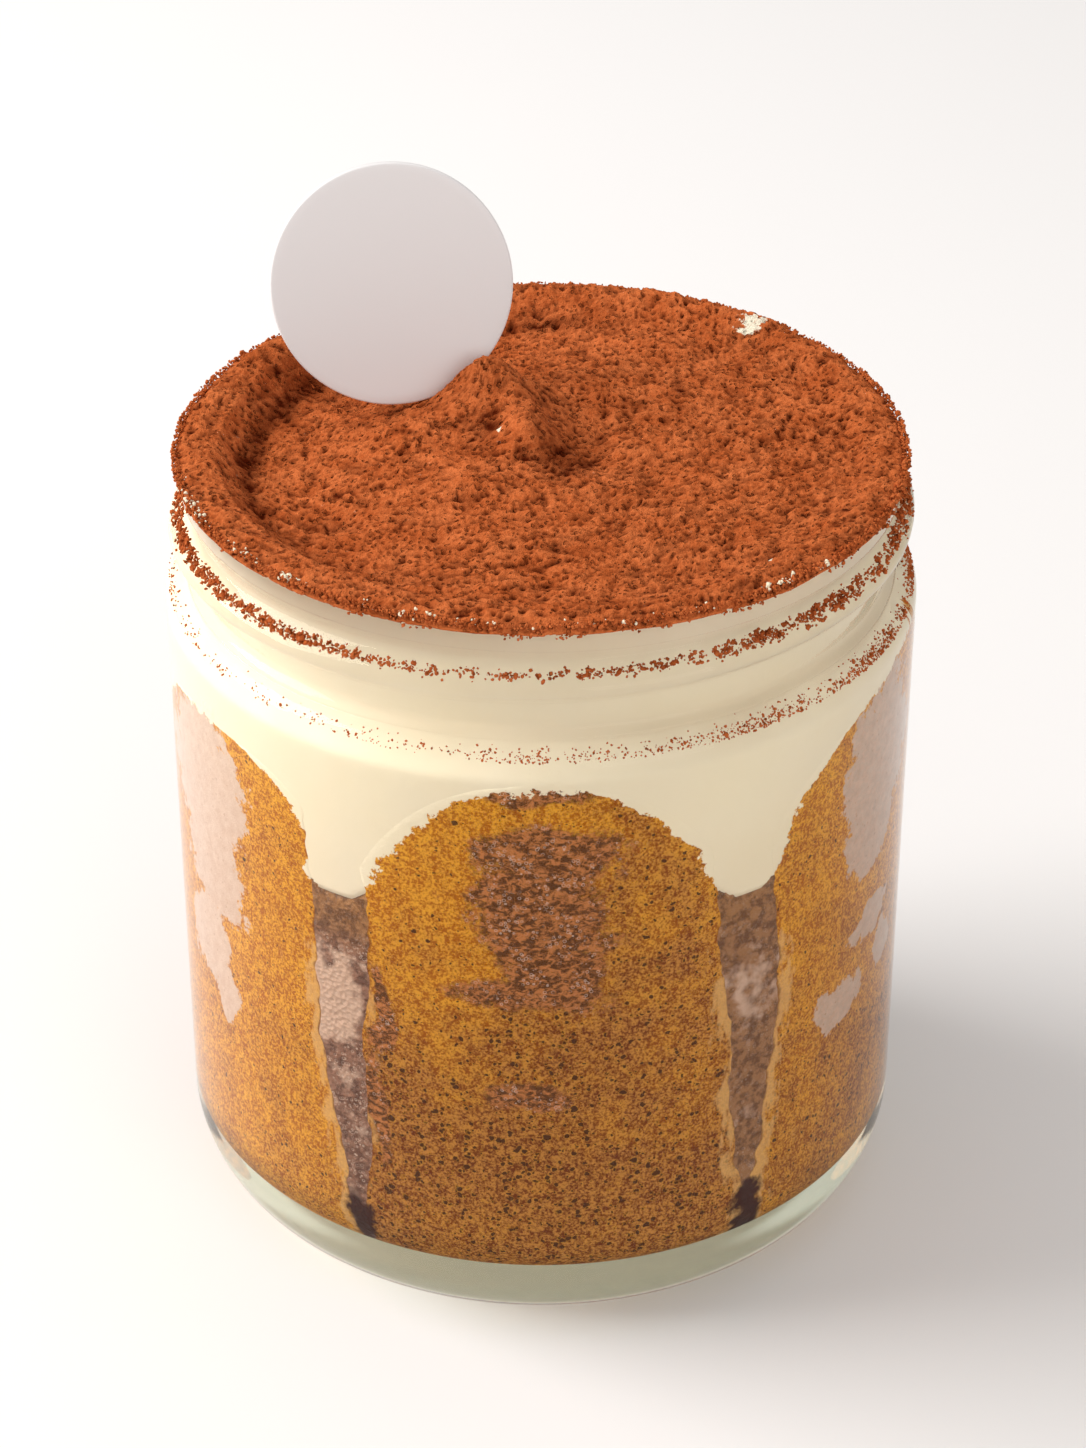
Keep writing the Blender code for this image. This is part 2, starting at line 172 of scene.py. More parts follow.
def fractal(x, y, z=0.0, octaves=3, seed=0):
    """Sum of noises, each twice as fine and half as strong as the one before."""
    total, strength = 0.0, 1.0
    for octave in range(octaves):
        scale = 2.0 ** octave
        total = total + strength * noise(x * scale, y * scale, np.asarray(z) * scale, seed + octave)
        strength *= 0.5
    return total / (2.0 - 2.0 ** (1 - octaves))


def nearest_cell(x, y, seed, jitter=0.75):
    """Distance to the nearest of the points scattered one to a unit cell, and its random value."""
    ix, iy = np.floor(x), np.floor(y)
    best = np.full(np.shape(x), 9.0)
    value = np.zeros(np.shape(x))
    for dx in (-1, 0, 1):
        for dy in (-1, 0, 1):
            cx, cy = ix + dx, iy + dy
            px = cx + 0.5 + 0.5 * jitter * hashed(cx, cy, cx * 0, seed)
            py = cy + 0.5 + 0.5 * jitter * hashed(cx, cy, cx * 0, seed + 1)
            distance = np.hypot(x - px, y - py)
            closer = distance < best
            best = np.where(closer, distance, best)
            value = np.where(closer, hashed(cx, cy, cx * 0, seed + 2), value)
    return best, value


def smoothstep(low, high, value):
    """Ease from 0 to 1 while the value goes from low to high."""
    t = np.clip((value - low) / (high - low), 0.0, 1.0)
    return t * t * (3.0 - 2.0 * t)


# ---------------------------------------------------------------- meshes


def polar(radius, azimuth, z):
    """Points at a radius, an azimuth in degrees and a height."""
    angle = np.radians(azimuth)
    return np.stack(np.broadcast_arrays(radius * np.sin(angle), -radius * np.cos(angle), z), axis=-1)


def grid_quads(rows, columns, wrap=False):
    """Quads between the points of a grid; wrap joins its last column to its first."""
    row = np.arange(rows - 1)[:, None] * columns
    column = np.arange(columns if wrap else columns - 1)[None, :]
    after = (column + 1) % columns
    return np.stack(
        [row + column, row + after, row + columns + after, row + columns + column], axis=-1
    ).reshape(-1, 4)


def cap_fans(rows, columns):
    """Triangles that close a wrapped grid at a foot point and a tip point, which come last."""
    column = np.arange(columns)
    after = (column + 1) % columns
    last = (rows - 1) * columns
    foot = np.stack([np.full(columns, rows * columns), after, column], axis=-1)
    tip = np.stack([np.full(columns, rows * columns + 1), last + column, last + after], axis=-1)
    return np.concatenate([foot, tip])


def make_mesh(name, points, quads, triangles, attributes=None):
    """Smooth mesh from arrays of points in millimetres, quads and triangles, with point attributes."""
    quads = np.asarray(quads, dtype=np.int32).reshape(-1, 4)
    triangles = np.asarray(triangles, dtype=np.int32).reshape(-1, 3)
    mesh = bpy.data.meshes.new(name)
    mesh.vertices.add(len(points))
    mesh.vertices.foreach_set("co", (np.asarray(points) * MM).astype(np.float32).ravel())
    mesh.loops.add(quads.size + triangles.size)
    mesh.loops.foreach_set("vertex_index", np.concatenate([quads.ravel(), triangles.ravel()]))
    starts = np.concatenate(
        [np.arange(len(quads)) * 4, quads.size + np.arange(len(triangles)) * 3]
    )
    mesh.polygons.add(len(starts))
    mesh.polygons.foreach_set("loop_start", starts.astype(np.int32))
    mesh.update(calc_edges=True)
    mesh.shade_smooth()
    for label, values in (attributes or {}).items():
        layer = mesh.attributes.new(label, "FLOAT", "POINT")
        layer.data.foreach_set("value", np.asarray(values, dtype=np.float32).ravel())
    return mesh


def add_piece(mesh, material, slot, *nodes):
    """Object of a finished mesh that rides on the root body and stands for CAD nodes."""
    piece = bpy.data.objects.new(mesh.name, mesh)
    bpy.context.scene.collection.objects.link(piece)
    mesh.materials.append(material)
    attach(piece, "root")
    if nodes:
        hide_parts(*nodes)
    return piece


def lathe(name, rings, attributes=None):
    """Closed mesh through wrapped rings of points, with a foot and a tip on the axis."""
    rows, columns = rings.shape[:2]
    ends = np.stack([rings[0].mean(axis=0), rings[-1].mean(axis=0)])
    points = np.concatenate([rings.reshape(-1, 3), ends])
    full = {}
    for label, values in (attributes or {}).items():
        ends = [values[0].mean(), values[-1].mean()]
        full[label] = np.concatenate([values.ravel(), ends])
    return make_mesh(name, points, grid_quads(rows, columns, True), cap_fans(rows, columns), full)


# ---------------------------------------------------------------- shared forms


class Jar:
    """The jar's surfaces in millimetres, from the frame and the settings."""

    def __init__(self, sizes):
        low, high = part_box("jar")
        self.body = (high[0] - low[0]) / 2.0 / MM
        self.top = high[2] / MM
        for label in ("wall", "floor", "heel", "inner_heel", "shoulder", "shoulder_round"):
            setattr(self, label, getattr(sizes, label) / MM)
        for label in ("neck", "bore", "rim", "thread_crest", "thread_height", "thread_pitch"):
            setattr(self, label, getattr(sizes, label) / MM)
        self.contact = sizes.contact / MM
        self.inside = self.body - self.wall
        self.rim_round = 1.2

    def cavity(self, z):
        """Inner radius at a height."""
        rise = self.floor + self.inner_heel - z
        heel = np.sqrt(np.clip(self.inner_heel ** 2 - np.clip(rise, 0.0, None) ** 2, 0.0, None))
        low = self.inside - self.inner_heel + heel
        return low + (self.bore - self.inside) * smoothstep(67.5, 72.5, z)

    def thread_z(self, azimuth):
        """Height of the thread's middle."""
        return self.thread_height + self.thread_pitch * azimuth / 360.0

    def thread_size(self, azimuth):
        """1 along the thread, falling to 0 at its ends at the back."""
        return smoothstep(0.0, 22.0, 168.0 - np.abs(azimuth))

    def neck_outside(self, z, azimuth):
        """Outer radius of the neck with its thread."""
        offset = (z - self.thread_z(azimuth)) / 2.3
        bead = np.clip(1.0 - offset ** 2, 0.0, None) ** 1.5
        plain = self.neck + (self.rim - self.neck) * smoothstep(80.4, 81.9, z)
        plain = plain + 0.9 * smoothstep(1.3, 0.0, z - self.shoulder)
        reach = (self.thread_crest - self.neck) * bead * self.thread_size(azimuth)
        return np.maximum(plain, self.neck + reach)


def groove_middle(index, z):
    """Azimuth of the groove to the left of a ladyfinger."""
    groove = GROOVES[index % len(GROOVES)]
    turns = 360.0 * (index // len(GROOVES))
    wander = 0.9 * np.sin(z / 6.5 + index * 2.1) * smoothstep(14.0, 30.0, z)
    return groove["azimuth"] + turns + groove["lean"] * (z - 31.0) / 20.5 + wander


def groove_half(index, z):
    """Half width of a groove on the wall in degrees: it tapers towards the floor."""
    groove = GROOVES[index % len(GROOVES)]
    rise = np.clip((z - groove["foot"]) / 30.0, 0.0, 1.0)
    return 0.25 + groove["half"] * rise ** 0.6


def outline_inside(index, azimuth, z):
    """How far inside a ladyfinger's visible outline a place is, in millimetres, cream side negative."""
    arch = ARCHES[index]
    top = arch["top"] + arch["tilt"] * (azimuth - arch["middle"])
    t = np.clip((z - arch["spring"]) / (top - arch["spring"]), 0.0, 1.0)
    half = arch["half"] * (1.0 - t ** arch["rise"]) ** (1.0 / arch["close"])
    side = (half - np.abs(azimuth - arch["middle"])) * DEGREES_TO_MM
    side = np.where(z < arch["spring"] + 0.5, 4.0, side + 3.0 * smoothstep(4.5, 0.5, z - arch["spring"]))
    return np.minimum(side, top - z)


def patch_field(patches, azimuth, z):
    """Above 0 inside any of the oval patches (azimuth, height, half width, half height)."""
    bend_azimuth = azimuth + 3.2 * fractal(azimuth / 7.0, z / 4.5, octaves=3, seed=81)
    bend_z = z + 1.7 * fractal(azimuth / 7.0, z / 4.5, octaves=3, seed=84)
    field = np.full(np.broadcast(azimuth, z).shape, -9.0)
    for middle, height, across, up in patches:
        reach = 1.0 - ((bend_azimuth - middle) / across) ** 2 - ((bend_z - height) / up) ** 2
        field = np.maximum(field, reach)
    return field


# Grooves between the ladyfingers, each at the left of the ladyfinger with its index.
GROOVES = (
    {"azimuth": -31.6, "lean": -1.6, "half": 3.9, "foot": 14.5, "tip": 51.0},
    {"azimuth": 34.4, "lean": -0.9, "half": 4.4, "foot": 16.0, "tip": 51.2},
    {"azimuth": 92.0, "lean": 1.2, "half": 4.0, "foot": 15.0, "tip": 53.2},
    {"azimuth": 151.5, "lean": -1.5, "half": 3.6, "foot": 17.0, "tip": 50.2},
    {"azimuth": 210.0, "lean": 1.0, "half": 4.4, "foot": 14.0, "tip": 52.4},
    {"azimuth": 270.5, "lean": 1.4, "half": 3.8, "foot": 16.0, "tip": 49.6},
)
# Where each ladyfinger shows through the glass: an arch over its round top.
ARCHES = (
    {"middle": 0.5, "half": 29.0, "spring": 50.0, "top": 67.4, "rise": 1.5, "close": 2.0, "tilt": -0.02},
    {"middle": 66.0, "half": 27.0, "spring": 50.0, "top": 67.4, "rise": 3.5, "close": 2.2, "tilt": 0.16},
    {"middle": 121.5, "half": 27.0, "spring": 51.0, "top": 66.0, "rise": 2.0, "close": 2.0, "tilt": -0.05},
    {"middle": 181.0, "half": 27.5, "spring": 48.5, "top": 67.0, "rise": 2.6, "close": 2.0, "tilt": 0.06},
    {"middle": 240.0, "half": 27.0, "spring": 50.0, "top": 65.3, "rise": 1.8, "close": 2.0, "tilt": 0.03},
    {"middle": 298.5, "half": 24.5, "spring": 48.5, "top": 63.7, "rise": 4.0, "close": 2.0, "tilt": 0.02},
)
# Patches where the sponge stands off the glass: azimuth, height, half width, half height.
PATCHES = (
    (
        (1.5, 59.2, 12.0, 3.4), (-2.0, 54.5, 9.5, 4.5), (1.5, 50.0, 9.0, 4.0), (2.5, 46.0, 8.0, 3.2),
        (-1.0, 43.0, 12.0, 2.0), (-1.5, 31.2, 6.5, 1.9), (-0.5, 66.9, 8.5, 1.7),
        (-26.2, 27.0, 1.6, 7.0), (-25.0, 38.0, 1.6, 5.0),
    ),
    ((66.0, 58.0, 12.0, 9.5), (64.0, 49.5, 8.5, 4.5), (65.0, 39.0, 6.5, 1.6), (56.0, 31.3, 6.5, 2.8),
     (70.0, 34.0, 3.5, 3.0)),
    ((118.0, 55.0, 13.0, 5.0), (125.0, 44.0, 8.0, 7.0), (112.0, 30.0, 6.0, 3.0)),
    ((184.0, 57.0, 12.0, 6.0), (178.0, 47.0, 9.0, 4.0), (190.0, 33.0, 5.0, 4.0)),
    ((236.0, 52.0, 11.0, 8.0), (244.0, 38.0, 9.0, 4.0), (233.0, 26.0, 5.0, 2.5)),
    ((294.0, 55.5, 14.0, 8.5), (296.5, 46.0, 10.5, 6.0), (295.0, 36.0, 7.0, 5.0), (300.5, 31.0, 4.5, 3.2)),
)
PALE = (0.0, 0.85, 0.5, 0.4, 0.6, 1.0)        # how pale the patches of each ladyfinger look
SOAK = (1.0, 0.55, 0.8, 0.9, 0.8, 0.2)       # how dark each ladyfinger gets at the floor
EDGES = ((0.3, 0.85), (0.95, 0.6), (0.6, 0.8), (0.7, 0.5), (0.8, 0.6), (0.6, 0.95))  # pale sides


# ---------------------------------------------------------------- shader helpers


class Nodes:
    """Short calls that add linked shader nodes to a material."""

    def __init__(self, name):
        self.material = bpy.data.materials.new(name)
        self.material.use_nodes = True
        self.tree = self.material.node_tree
        self.shader = self.tree.nodes["Principled BSDF"]
        self.output = self.tree.nodes["Material Output"]
        coordinates = self.tree.nodes.new("ShaderNodeTexCoord")
        self.place = coordinates.outputs["Object"]

    def add(self, kind, inputs=None, **settings):
        """A node with its settings and its inputs, each a value or an output to link."""
        node = self.tree.nodes.new(kind)
        for label, value in settings.items():
            setattr(node, label, value)
        for label, value in (inputs or {}).items():
            if isinstance(value, bpy.types.NodeSocket):
                self.tree.links.new(value, node.inputs[label])
            else:
                node.inputs[label].default_value = value
        return node

    def attribute(self, name):
        """A point attribute's value."""
        return self.add("ShaderNodeAttribute", attribute_name=name).outputs["Fac"]

    def stretched(self, scale):
        """Object coordinates scaled along each axis."""
        mapping = self.add("ShaderNodeMapping", {"Vector": self.place, "Scale": scale})
        return mapping.outputs["Vector"]

    def noise(self, scale, detail=2.0, roughness=0.5, vector=None, distortion=0.0):
        """Noise from 0 to 1."""
        inputs = {"Vector": vector or self.place, "Scale": scale, "Detail": detail}
        inputs.update({"Roughness": roughness, "Distortion": distortion})
        return self.add("ShaderNodeTexNoise", inputs).outputs["Fac"]

    def cells(self, scale, feature="F1", vector=None, output="Distance", randomness=1.0):
        """Cell pattern."""
        inputs = {"Vector": vector or self.place, "Scale": scale, "Randomness": randomness}
        return self.add("ShaderNodeTexVoronoi", inputs, feature=feature).outputs[output]

    def math(self, operation, first, second=0.0, third=0.0):
        """One sum on values or outputs."""
        return self.add("ShaderNodeMath", {0: first, 1: second, 2: third}, operation=operation).outputs[0]

    def ramp(self, value, low, high, out_low=0.0, out_high=1.0):
        """The value eased from low..high to out_low..out_high."""
        inputs = {"Value": value, "From Min": low, "From Max": high, "To Min": out_low, "To Max": out_high}
        node = self.add("ShaderNodeMapRange", inputs, interpolation_type="SMOOTHSTEP")
        return node.outputs["Result"]

    def mix(self, factor, first, second, blend="MIX"):
        """Mix of two colours."""
        node = self.tree.nodes.new("ShaderNodeMix")
        node.data_type = "RGBA"
        node.blend_type = blend
        for socket, value in ((node.inputs[0], factor), (node.inputs[6], first), (node.inputs[7], second)):
            if isinstance(value, bpy.types.NodeSocket):
                self.tree.links.new(value, socket)
            elif isinstance(value, float):
                socket.default_value = value
            else:
                socket.default_value = (*value, 1.0)
        return node.outputs[2]

    def set(self, label, value):
        """Sets or links an input of the Principled shader."""
        if isinstance(value, bpy.types.NodeSocket):
            self.tree.links.new(value, self.shader.inputs[label])
        else:
            self.shader.inputs[label].default_value = value

    def times(self, first, second):
        """Product of two values."""
        return self.math("MULTIPLY", first, second)

    def frayed(self, attribute, noise, low, high, reach):
        """An attribute plus a noise, so that the edge it draws is uneven."""
        return self.math("ADD", self.attribute(attribute), self.ramp(noise, low, high, -reach, reach))

    def painted_underside_glow(self, colour):
        """Painted glow: emission that stands in for the light that the thick glass base carries under the
        contents.
        """
        place = self.add("ShaderNodeSeparateXYZ", {"Vector": self.place}).outputs
        across = self.math("SQRT", self.math(
            "MULTIPLY_ADD", place["X"], place["X"], self.math("MULTIPLY", place["Y"], place["Y"])))
        band = self.ramp(across, 0.016, 0.020, 0.10, 0.42)
        streak = self.ramp(self.math("ABSOLUTE", self.math("SUBTRACT", across, 0.0245)), 0.0009, 0.0004)
        band = self.math("MULTIPLY_ADD", self.math("MULTIPLY", band, streak), -0.9, band)
        self.set("Emission Color", (*colour, 1.0))
        low_down = self.ramp(place["Z"], 0.0076, 0.0078, 1.0, 0.0)
        self.set("Emission Strength", self.times(band, low_down))

    def bump(self, height, strength, distance):
        """Fine relief on the shader's normal."""
        inputs = {"Height": height, "Strength": strength, "Distance": distance}
        self.set("Normal", self.add("ShaderNodeBump", inputs).outputs["Normal"])


def glass_material(name, colours):
    """Clear glass, a little green in the thick base; lamps shine through it."""
    nodes = Nodes(name)
    height = nodes.add("ShaderNodeSeparateXYZ", {"Vector": nodes.place}).outputs["Z"]
    wall = nodes.ramp(height, 0.006, 0.0095)
    tint = nodes.mix(wall, tuple(colours.glass_base), tuple(colours.glass))
    nodes.set("Base Color", tint)
    nodes.set("Transmission Weight", 1.0)
    nodes.set("Roughness", 0.0)
    nodes.set("IOR", 1.5)
    nodes.set("Specular Tint", (0.25, 0.25, 0.25, 1.0))
    clear = nodes.add("ShaderNodeBsdfTransparent", {"Color": tint})
    shadow = nodes.add("ShaderNodeLightPath").outputs["Is Shadow Ray"]
    inputs = {0: shadow, 1: nodes.shader.outputs["BSDF"], 2: clear.outputs["BSDF"]}
    mixed = nodes.add("ShaderNodeMixShader", inputs)
    nodes.tree.links.new(mixed.outputs["Shader"], nodes.output.inputs["Surface"])
    return nodes.material


def cream_colour(nodes, colours):
    """Ivory with faint warmer clouds."""
    warm = tuple(c * f for c, f in zip(colours.cream, (0.98, 0.95, 0.86)))
    return nodes.mix(nodes.noise(90.0, 2.0), tuple(colours.cream), warm)


def cream_material(name, colours):
    """Mascarpone cream."""
    nodes = Nodes(name)
    nodes.set("Base Color", cream_colour(nodes, colours))
    nodes.set("Roughness", 0.6)
    nodes.set("Specular IOR Level", 0.08)
    # Painted glow near the floor in place of light through the glass base.
    nodes.painted_underside_glow(tuple(colours.underside))
    nodes.bump(nodes.noise(900.0, 3.0), 0.1, 0.0003)
    return nodes.material


def crumb_colour(nodes, colours):
    """Wet sponge: light and dark crumb with pores, browner and coarser towards the floor."""
    jumble = nodes.add("ShaderNodeTexNoise", {"Vector": nodes.place, "Scale": 1500.0}).outputs["Color"]
    torn = nodes.add("ShaderNodeVectorMath", {0: jumble, 1: (0.0007,) * 3, 2: nodes.place},
                     operation="MULTIPLY_ADD").outputs["Vector"]
    depth = nodes.frayed("depth", nodes.noise(170.0, 4.0, 0.6), 0.3, 0.7, 0.3)
    grit = nodes.math("MULTIPLY_ADD", nodes.noise(3600.0, 3.0, 0.6), 0.6, nodes.math(
        "MULTIPLY", nodes.noise(1100.0, 4.0, 0.7), 0.4))
    crumb = nodes.ramp(grit, 0.41, 0.59)
    top = nodes.mix(crumb, tuple(colours.amber_dark), tuple(colours.amber))
    low = nodes.mix(crumb, tuple(colours.soaked_dark), tuple(colours.soaked))
    base = nodes.mix(nodes.ramp(depth, 0.0, 1.0), top, low)
    for scale, share, widest in ((1650.0, 0.42, 0.85), (930.0, 0.62, 0.9)):
        cells = nodes.add("ShaderNodeTexVoronoi", {"Vector": torn, "Scale": scale})
        chance = nodes.math("SUBTRACT", cells.outputs["Color"], share)
        size = nodes.times(chance, nodes.math("MULTIPLY_ADD", depth, 0.75 * widest, 0.55 * widest))
        inside = nodes.math("SUBTRACT", size, cells.outputs["Distance"])
        pale_rim = nodes.times(nodes.ramp(inside, -0.16, -0.06), 0.3)
        base = nodes.mix(pale_rim, base, tuple(colours.amber))
        base = nodes.mix(nodes.times(nodes.ramp(inside, -0.06, 0.04), 0.92), base, tuple(colours.pore))
    return base


def off_glass_colour(nodes, colours):
    """Sponge that stands off the glass: fibres, and bubbles whose rims carry painted highlights, from brown
    to pale haze.
    """
    fibres = nodes.noise(1250.0, 5.0, 0.7, nodes.stretched((1.0, 1.0, 1.4)), 0.8)
    fibres = nodes.ramp(fibres, 0.43, 0.60)
    bright = tuple(min(1.0, c * 1.7 + 0.02) for c in colours.dry)
    deep = tuple(c * 0.38 for c in colours.dry)
    brown = nodes.mix(fibres, deep, bright)
    bubbles = nodes.cells(1900.0)
    # Painted highlights on the rims of the bubbles.
    rings = nodes.ramp(nodes.math("ABSOLUTE", nodes.math("SUBTRACT", bubbles, 0.3)), 0.09, 0.0)
    rings = nodes.times(rings, nodes.ramp(nodes.noise(600.0, 2.0), 0.42, 0.62, 0.0, 0.75))
    brown = nodes.mix(rings, brown, tuple(colours.haze))
    cooler = tuple(c * f for c, f in zip(colours.haze, (0.9, 0.84, 0.80)))
    pale = nodes.mix(nodes.ramp(nodes.noise(900.0, 4.0, 0.65), 0.3, 0.7), cooler, tuple(colours.haze))
    dots = nodes.ramp(nodes.cells(900.0), 0.16, 0.08, 0.0, 0.35)
    pale = nodes.mix(dots, pale, tuple(colours.dry))
    return nodes.mix(nodes.attribute("pale"), brown, pale)


def sponge_material(name, colours):
    """Soaked ladyfinger behind glass, with cream along its outline."""
    nodes = Nodes(name)
    wet = crumb_colour(nodes, colours)
    fine = nodes.noise(1500.0, 4.0, 0.7)
    broad = nodes.noise(420.0, 4.0, 0.6)
    streaks = nodes.noise(650.0, 4.0, 0.65, nodes.stretched((1.0, 1.0, 0.4)))
    edge = nodes.frayed("edge", streaks, 0.25, 0.75, 0.5)
    edge = nodes.times(nodes.ramp(edge, 0.35, 0.85), 0.75)
    wet = nodes.mix(edge, wet, tuple(colours.tan))
    # Painted shade along the groove edges, where the ladyfinger's side turns away from the glass.
    rim = nodes.frayed("rim", broad, 0.2, 0.8, 0.5)
    wet = nodes.mix(nodes.times(nodes.ramp(rim, 0.4, 0.9), 0.7), wet, tuple(colours.soaked_dark))
    ragged = nodes.ramp(broad, 0.2, 0.8, -0.4, 0.4)
    ragged = nodes.math("ADD", ragged, nodes.ramp(fine, 0.2, 0.8, -0.3, 0.3))
    off = nodes.math("ADD", nodes.attribute("off"), ragged)
    crisp = nodes.math("MULTIPLY_ADD", nodes.attribute("pale"), 3.2, 1.3)
    off = nodes.ramp(nodes.times(off, crisp), -0.55, 0.45)
    surface = nodes.mix(off, wet, off_glass_colour(nodes, colours))
    pool = nodes.frayed("pool", broad, 0.2, 0.8, 0.45)
    surface = nodes.mix(nodes.ramp(pool, 0.3, 0.8), surface, tuple(colours.coffee))
    torn = nodes.ramp(nodes.noise(800.0, 4.0, 0.7), 0.25, 0.75, -0.8, 0.8)
    show = nodes.ramp(nodes.math("ADD", nodes.attribute("show"), torn), -0.08, 0.12)
    nodes.set("Base Color", nodes.mix(show, cream_colour(nodes, colours), surface))
    nodes.set("Roughness", 0.8)
    nodes.set("Specular IOR Level", 0.05)
    # Painted glow near the floor in place of light through the glass base.
    nodes.painted_underside_glow(tuple(colours.underside))
    nodes.bump(fine, 0.3, 0.0003)
    return nodes.material


def syrup_material(name, colours):
    """Bubbly coffee syrup in the grooves with painted highlights on the bubble rims, browner where the warm
    attribute is high.
    """
    nodes = Nodes(name)
    bubbles = nodes.cells(2100.0)
    # Painted highlights on the bubble rims, fewer where the syrup has dried.
    rings = nodes.ramp(nodes.math("ABSOLUTE", nodes.math("SUBTRACT", bubbles, 0.33)), 0.10, 0.0)
    rings = nodes.times(rings, nodes.ramp(nodes.noise(500.0, 2.0), 0.4, 0.6, 0.1, 0.8))
    rings = nodes.times(rings, nodes.math("MULTIPLY_ADD", nodes.attribute("warm"), -0.75, 1.0))
    froth = nodes.frayed("froth", nodes.noise(420.0, 4.0), 0.3, 0.7, 0.4)
    milky = tuple(min(1.0, c * f) for c, f in zip(colours.haze, (0.94, 0.84, 0.78)))
    brown = nodes.mix(nodes.attribute("warm"), tuple(colours.syrup), tuple(colours.dried))
    dark = nodes.mix(0.6, brown, tuple(colours.coffee))
    base = nodes.mix(nodes.ramp(nodes.noise(800.0, 4.0, 0.7), 0.4, 0.58), dark, brown)
    base = nodes.mix(nodes.ramp(froth, 0.2, 0.9), base, milky)
    base = nodes.mix(rings, base, tuple(colours.haze))
    pool = nodes.frayed("pool", nodes.noise(420.0, 3.0), 0.2, 0.8, 0.4)
    base = nodes.mix(nodes.ramp(pool, 0.3, 0.8), base, tuple(colours.coffee))
    nodes.set("Base Color", base)
    nodes.set("Roughness", 0.6)
    nodes.set("Specular IOR Level", 0.1)
    nodes.bump(bubbles, 0.5, 0.0004)
    return nodes.material


def cocoa_material(name, colours, loose=False):
    """Dry cocoa with a fine powdery grain; painted shade darkens its pits, folds and hollows."""
    nodes = Nodes(name)
    powder = nodes.noise(2600.0, 3.0, 0.6)
    clouds = nodes.noise(260.0, 3.0)
    mottled = nodes.math("MULTIPLY_ADD", powder, 0.5, nodes.times(clouds, 0.5))
    lit = tuple(min(1.0, c * f) for c, f in zip(colours.cocoa, (1.15, 1.25, 1.4)))
    shade = tuple(c * f for c, f in zip(colours.cocoa, (0.8, 0.72, 0.66)))
    base = nodes.mix(nodes.ramp(mottled, 0.36, 0.64), shade, lit)
    jumble = nodes.add("ShaderNodeTexNoise", {"Vector": nodes.place, "Scale": 1200.0}).outputs["Color"]
    torn = nodes.add("ShaderNodeVectorMath", {0: jumble, 1: (0.0006,) * 3, 2: nodes.place},
                     operation="MULTIPLY_ADD").outputs["Vector"]
    cells = nodes.add("ShaderNodeTexVoronoi", {"Vector": torn, "Scale": 1500.0})
    reach = nodes.math("MULTIPLY_ADD", cells.outputs["Color"], 0.36, 0.02)
    holes = nodes.ramp(nodes.math("SUBTRACT", reach, cells.outputs["Distance"]), -0.1, 0.08)
    # Painted shade in the fine pits of the powder.
    base = nodes.mix(nodes.times(holes, 0.34), base, tuple(colours.cocoa_pit_shade))
    if not loose:
        # Painted shade from the relief: pits, troughs, folds and the slope beside the heap.
        base = nodes.mix(nodes.attribute("cocoa_shade"), base, tuple(colours.cocoa_pit_shade))
        bare = nodes.ramp(nodes.frayed("bare", nodes.noise(1300.0, 3.0), 0.2, 0.8, 0.5), 0.45, 0.7)
        base = nodes.mix(bare, base, tuple(colours.cream))
    nodes.set("Base Color", base)
    nodes.set("Roughness", 0.95)
    nodes.set("Specular IOR Level", 0.03)
    relief = nodes.math("MULTIPLY_ADD", holes, -1.0, powder)
    nodes.bump(relief, 1.0, 0.0004)
    return nodes.material


def tag_material(name, colours):
    """Smooth coated card."""
    nodes = Nodes(name)
    shade = tuple(c * 0.985 for c in colours.tag)
    nodes.set("Base Color", nodes.mix(nodes.noise(120.0, 2.0), tuple(colours.tag), shade))
    nodes.set("Roughness", 0.38)
    nodes.set("Specular IOR Level", 0.4)
    nodes.bump(nodes.noise(700.0, 2.0), 0.03, 0.0002)
    return nodes.material


def floor_material(name, colours):
    """Plain pale ground."""
    nodes = Nodes(name)
    shade = tuple(c * 0.995 for c in colours.floor)
    nodes.set("Base Color", nodes.mix(nodes.noise(30.0, 2.0), tuple(colours.floor), shade))
    nodes.set("Roughness", 0.8)
    nodes.set("Specular IOR Level", 0.1)
    return nodes.material


# ---------------------------------------------------------------- glass


def arc_profile(centre_r, centre_z, radius, start, end, steps):
    """Arc as an array of (radius, height)."""
    angles = np.radians(np.linspace(start, end, steps + 1))
    return np.stack([centre_r + radius * np.cos(angles), centre_z + radius * np.sin(angles)], axis=-1)


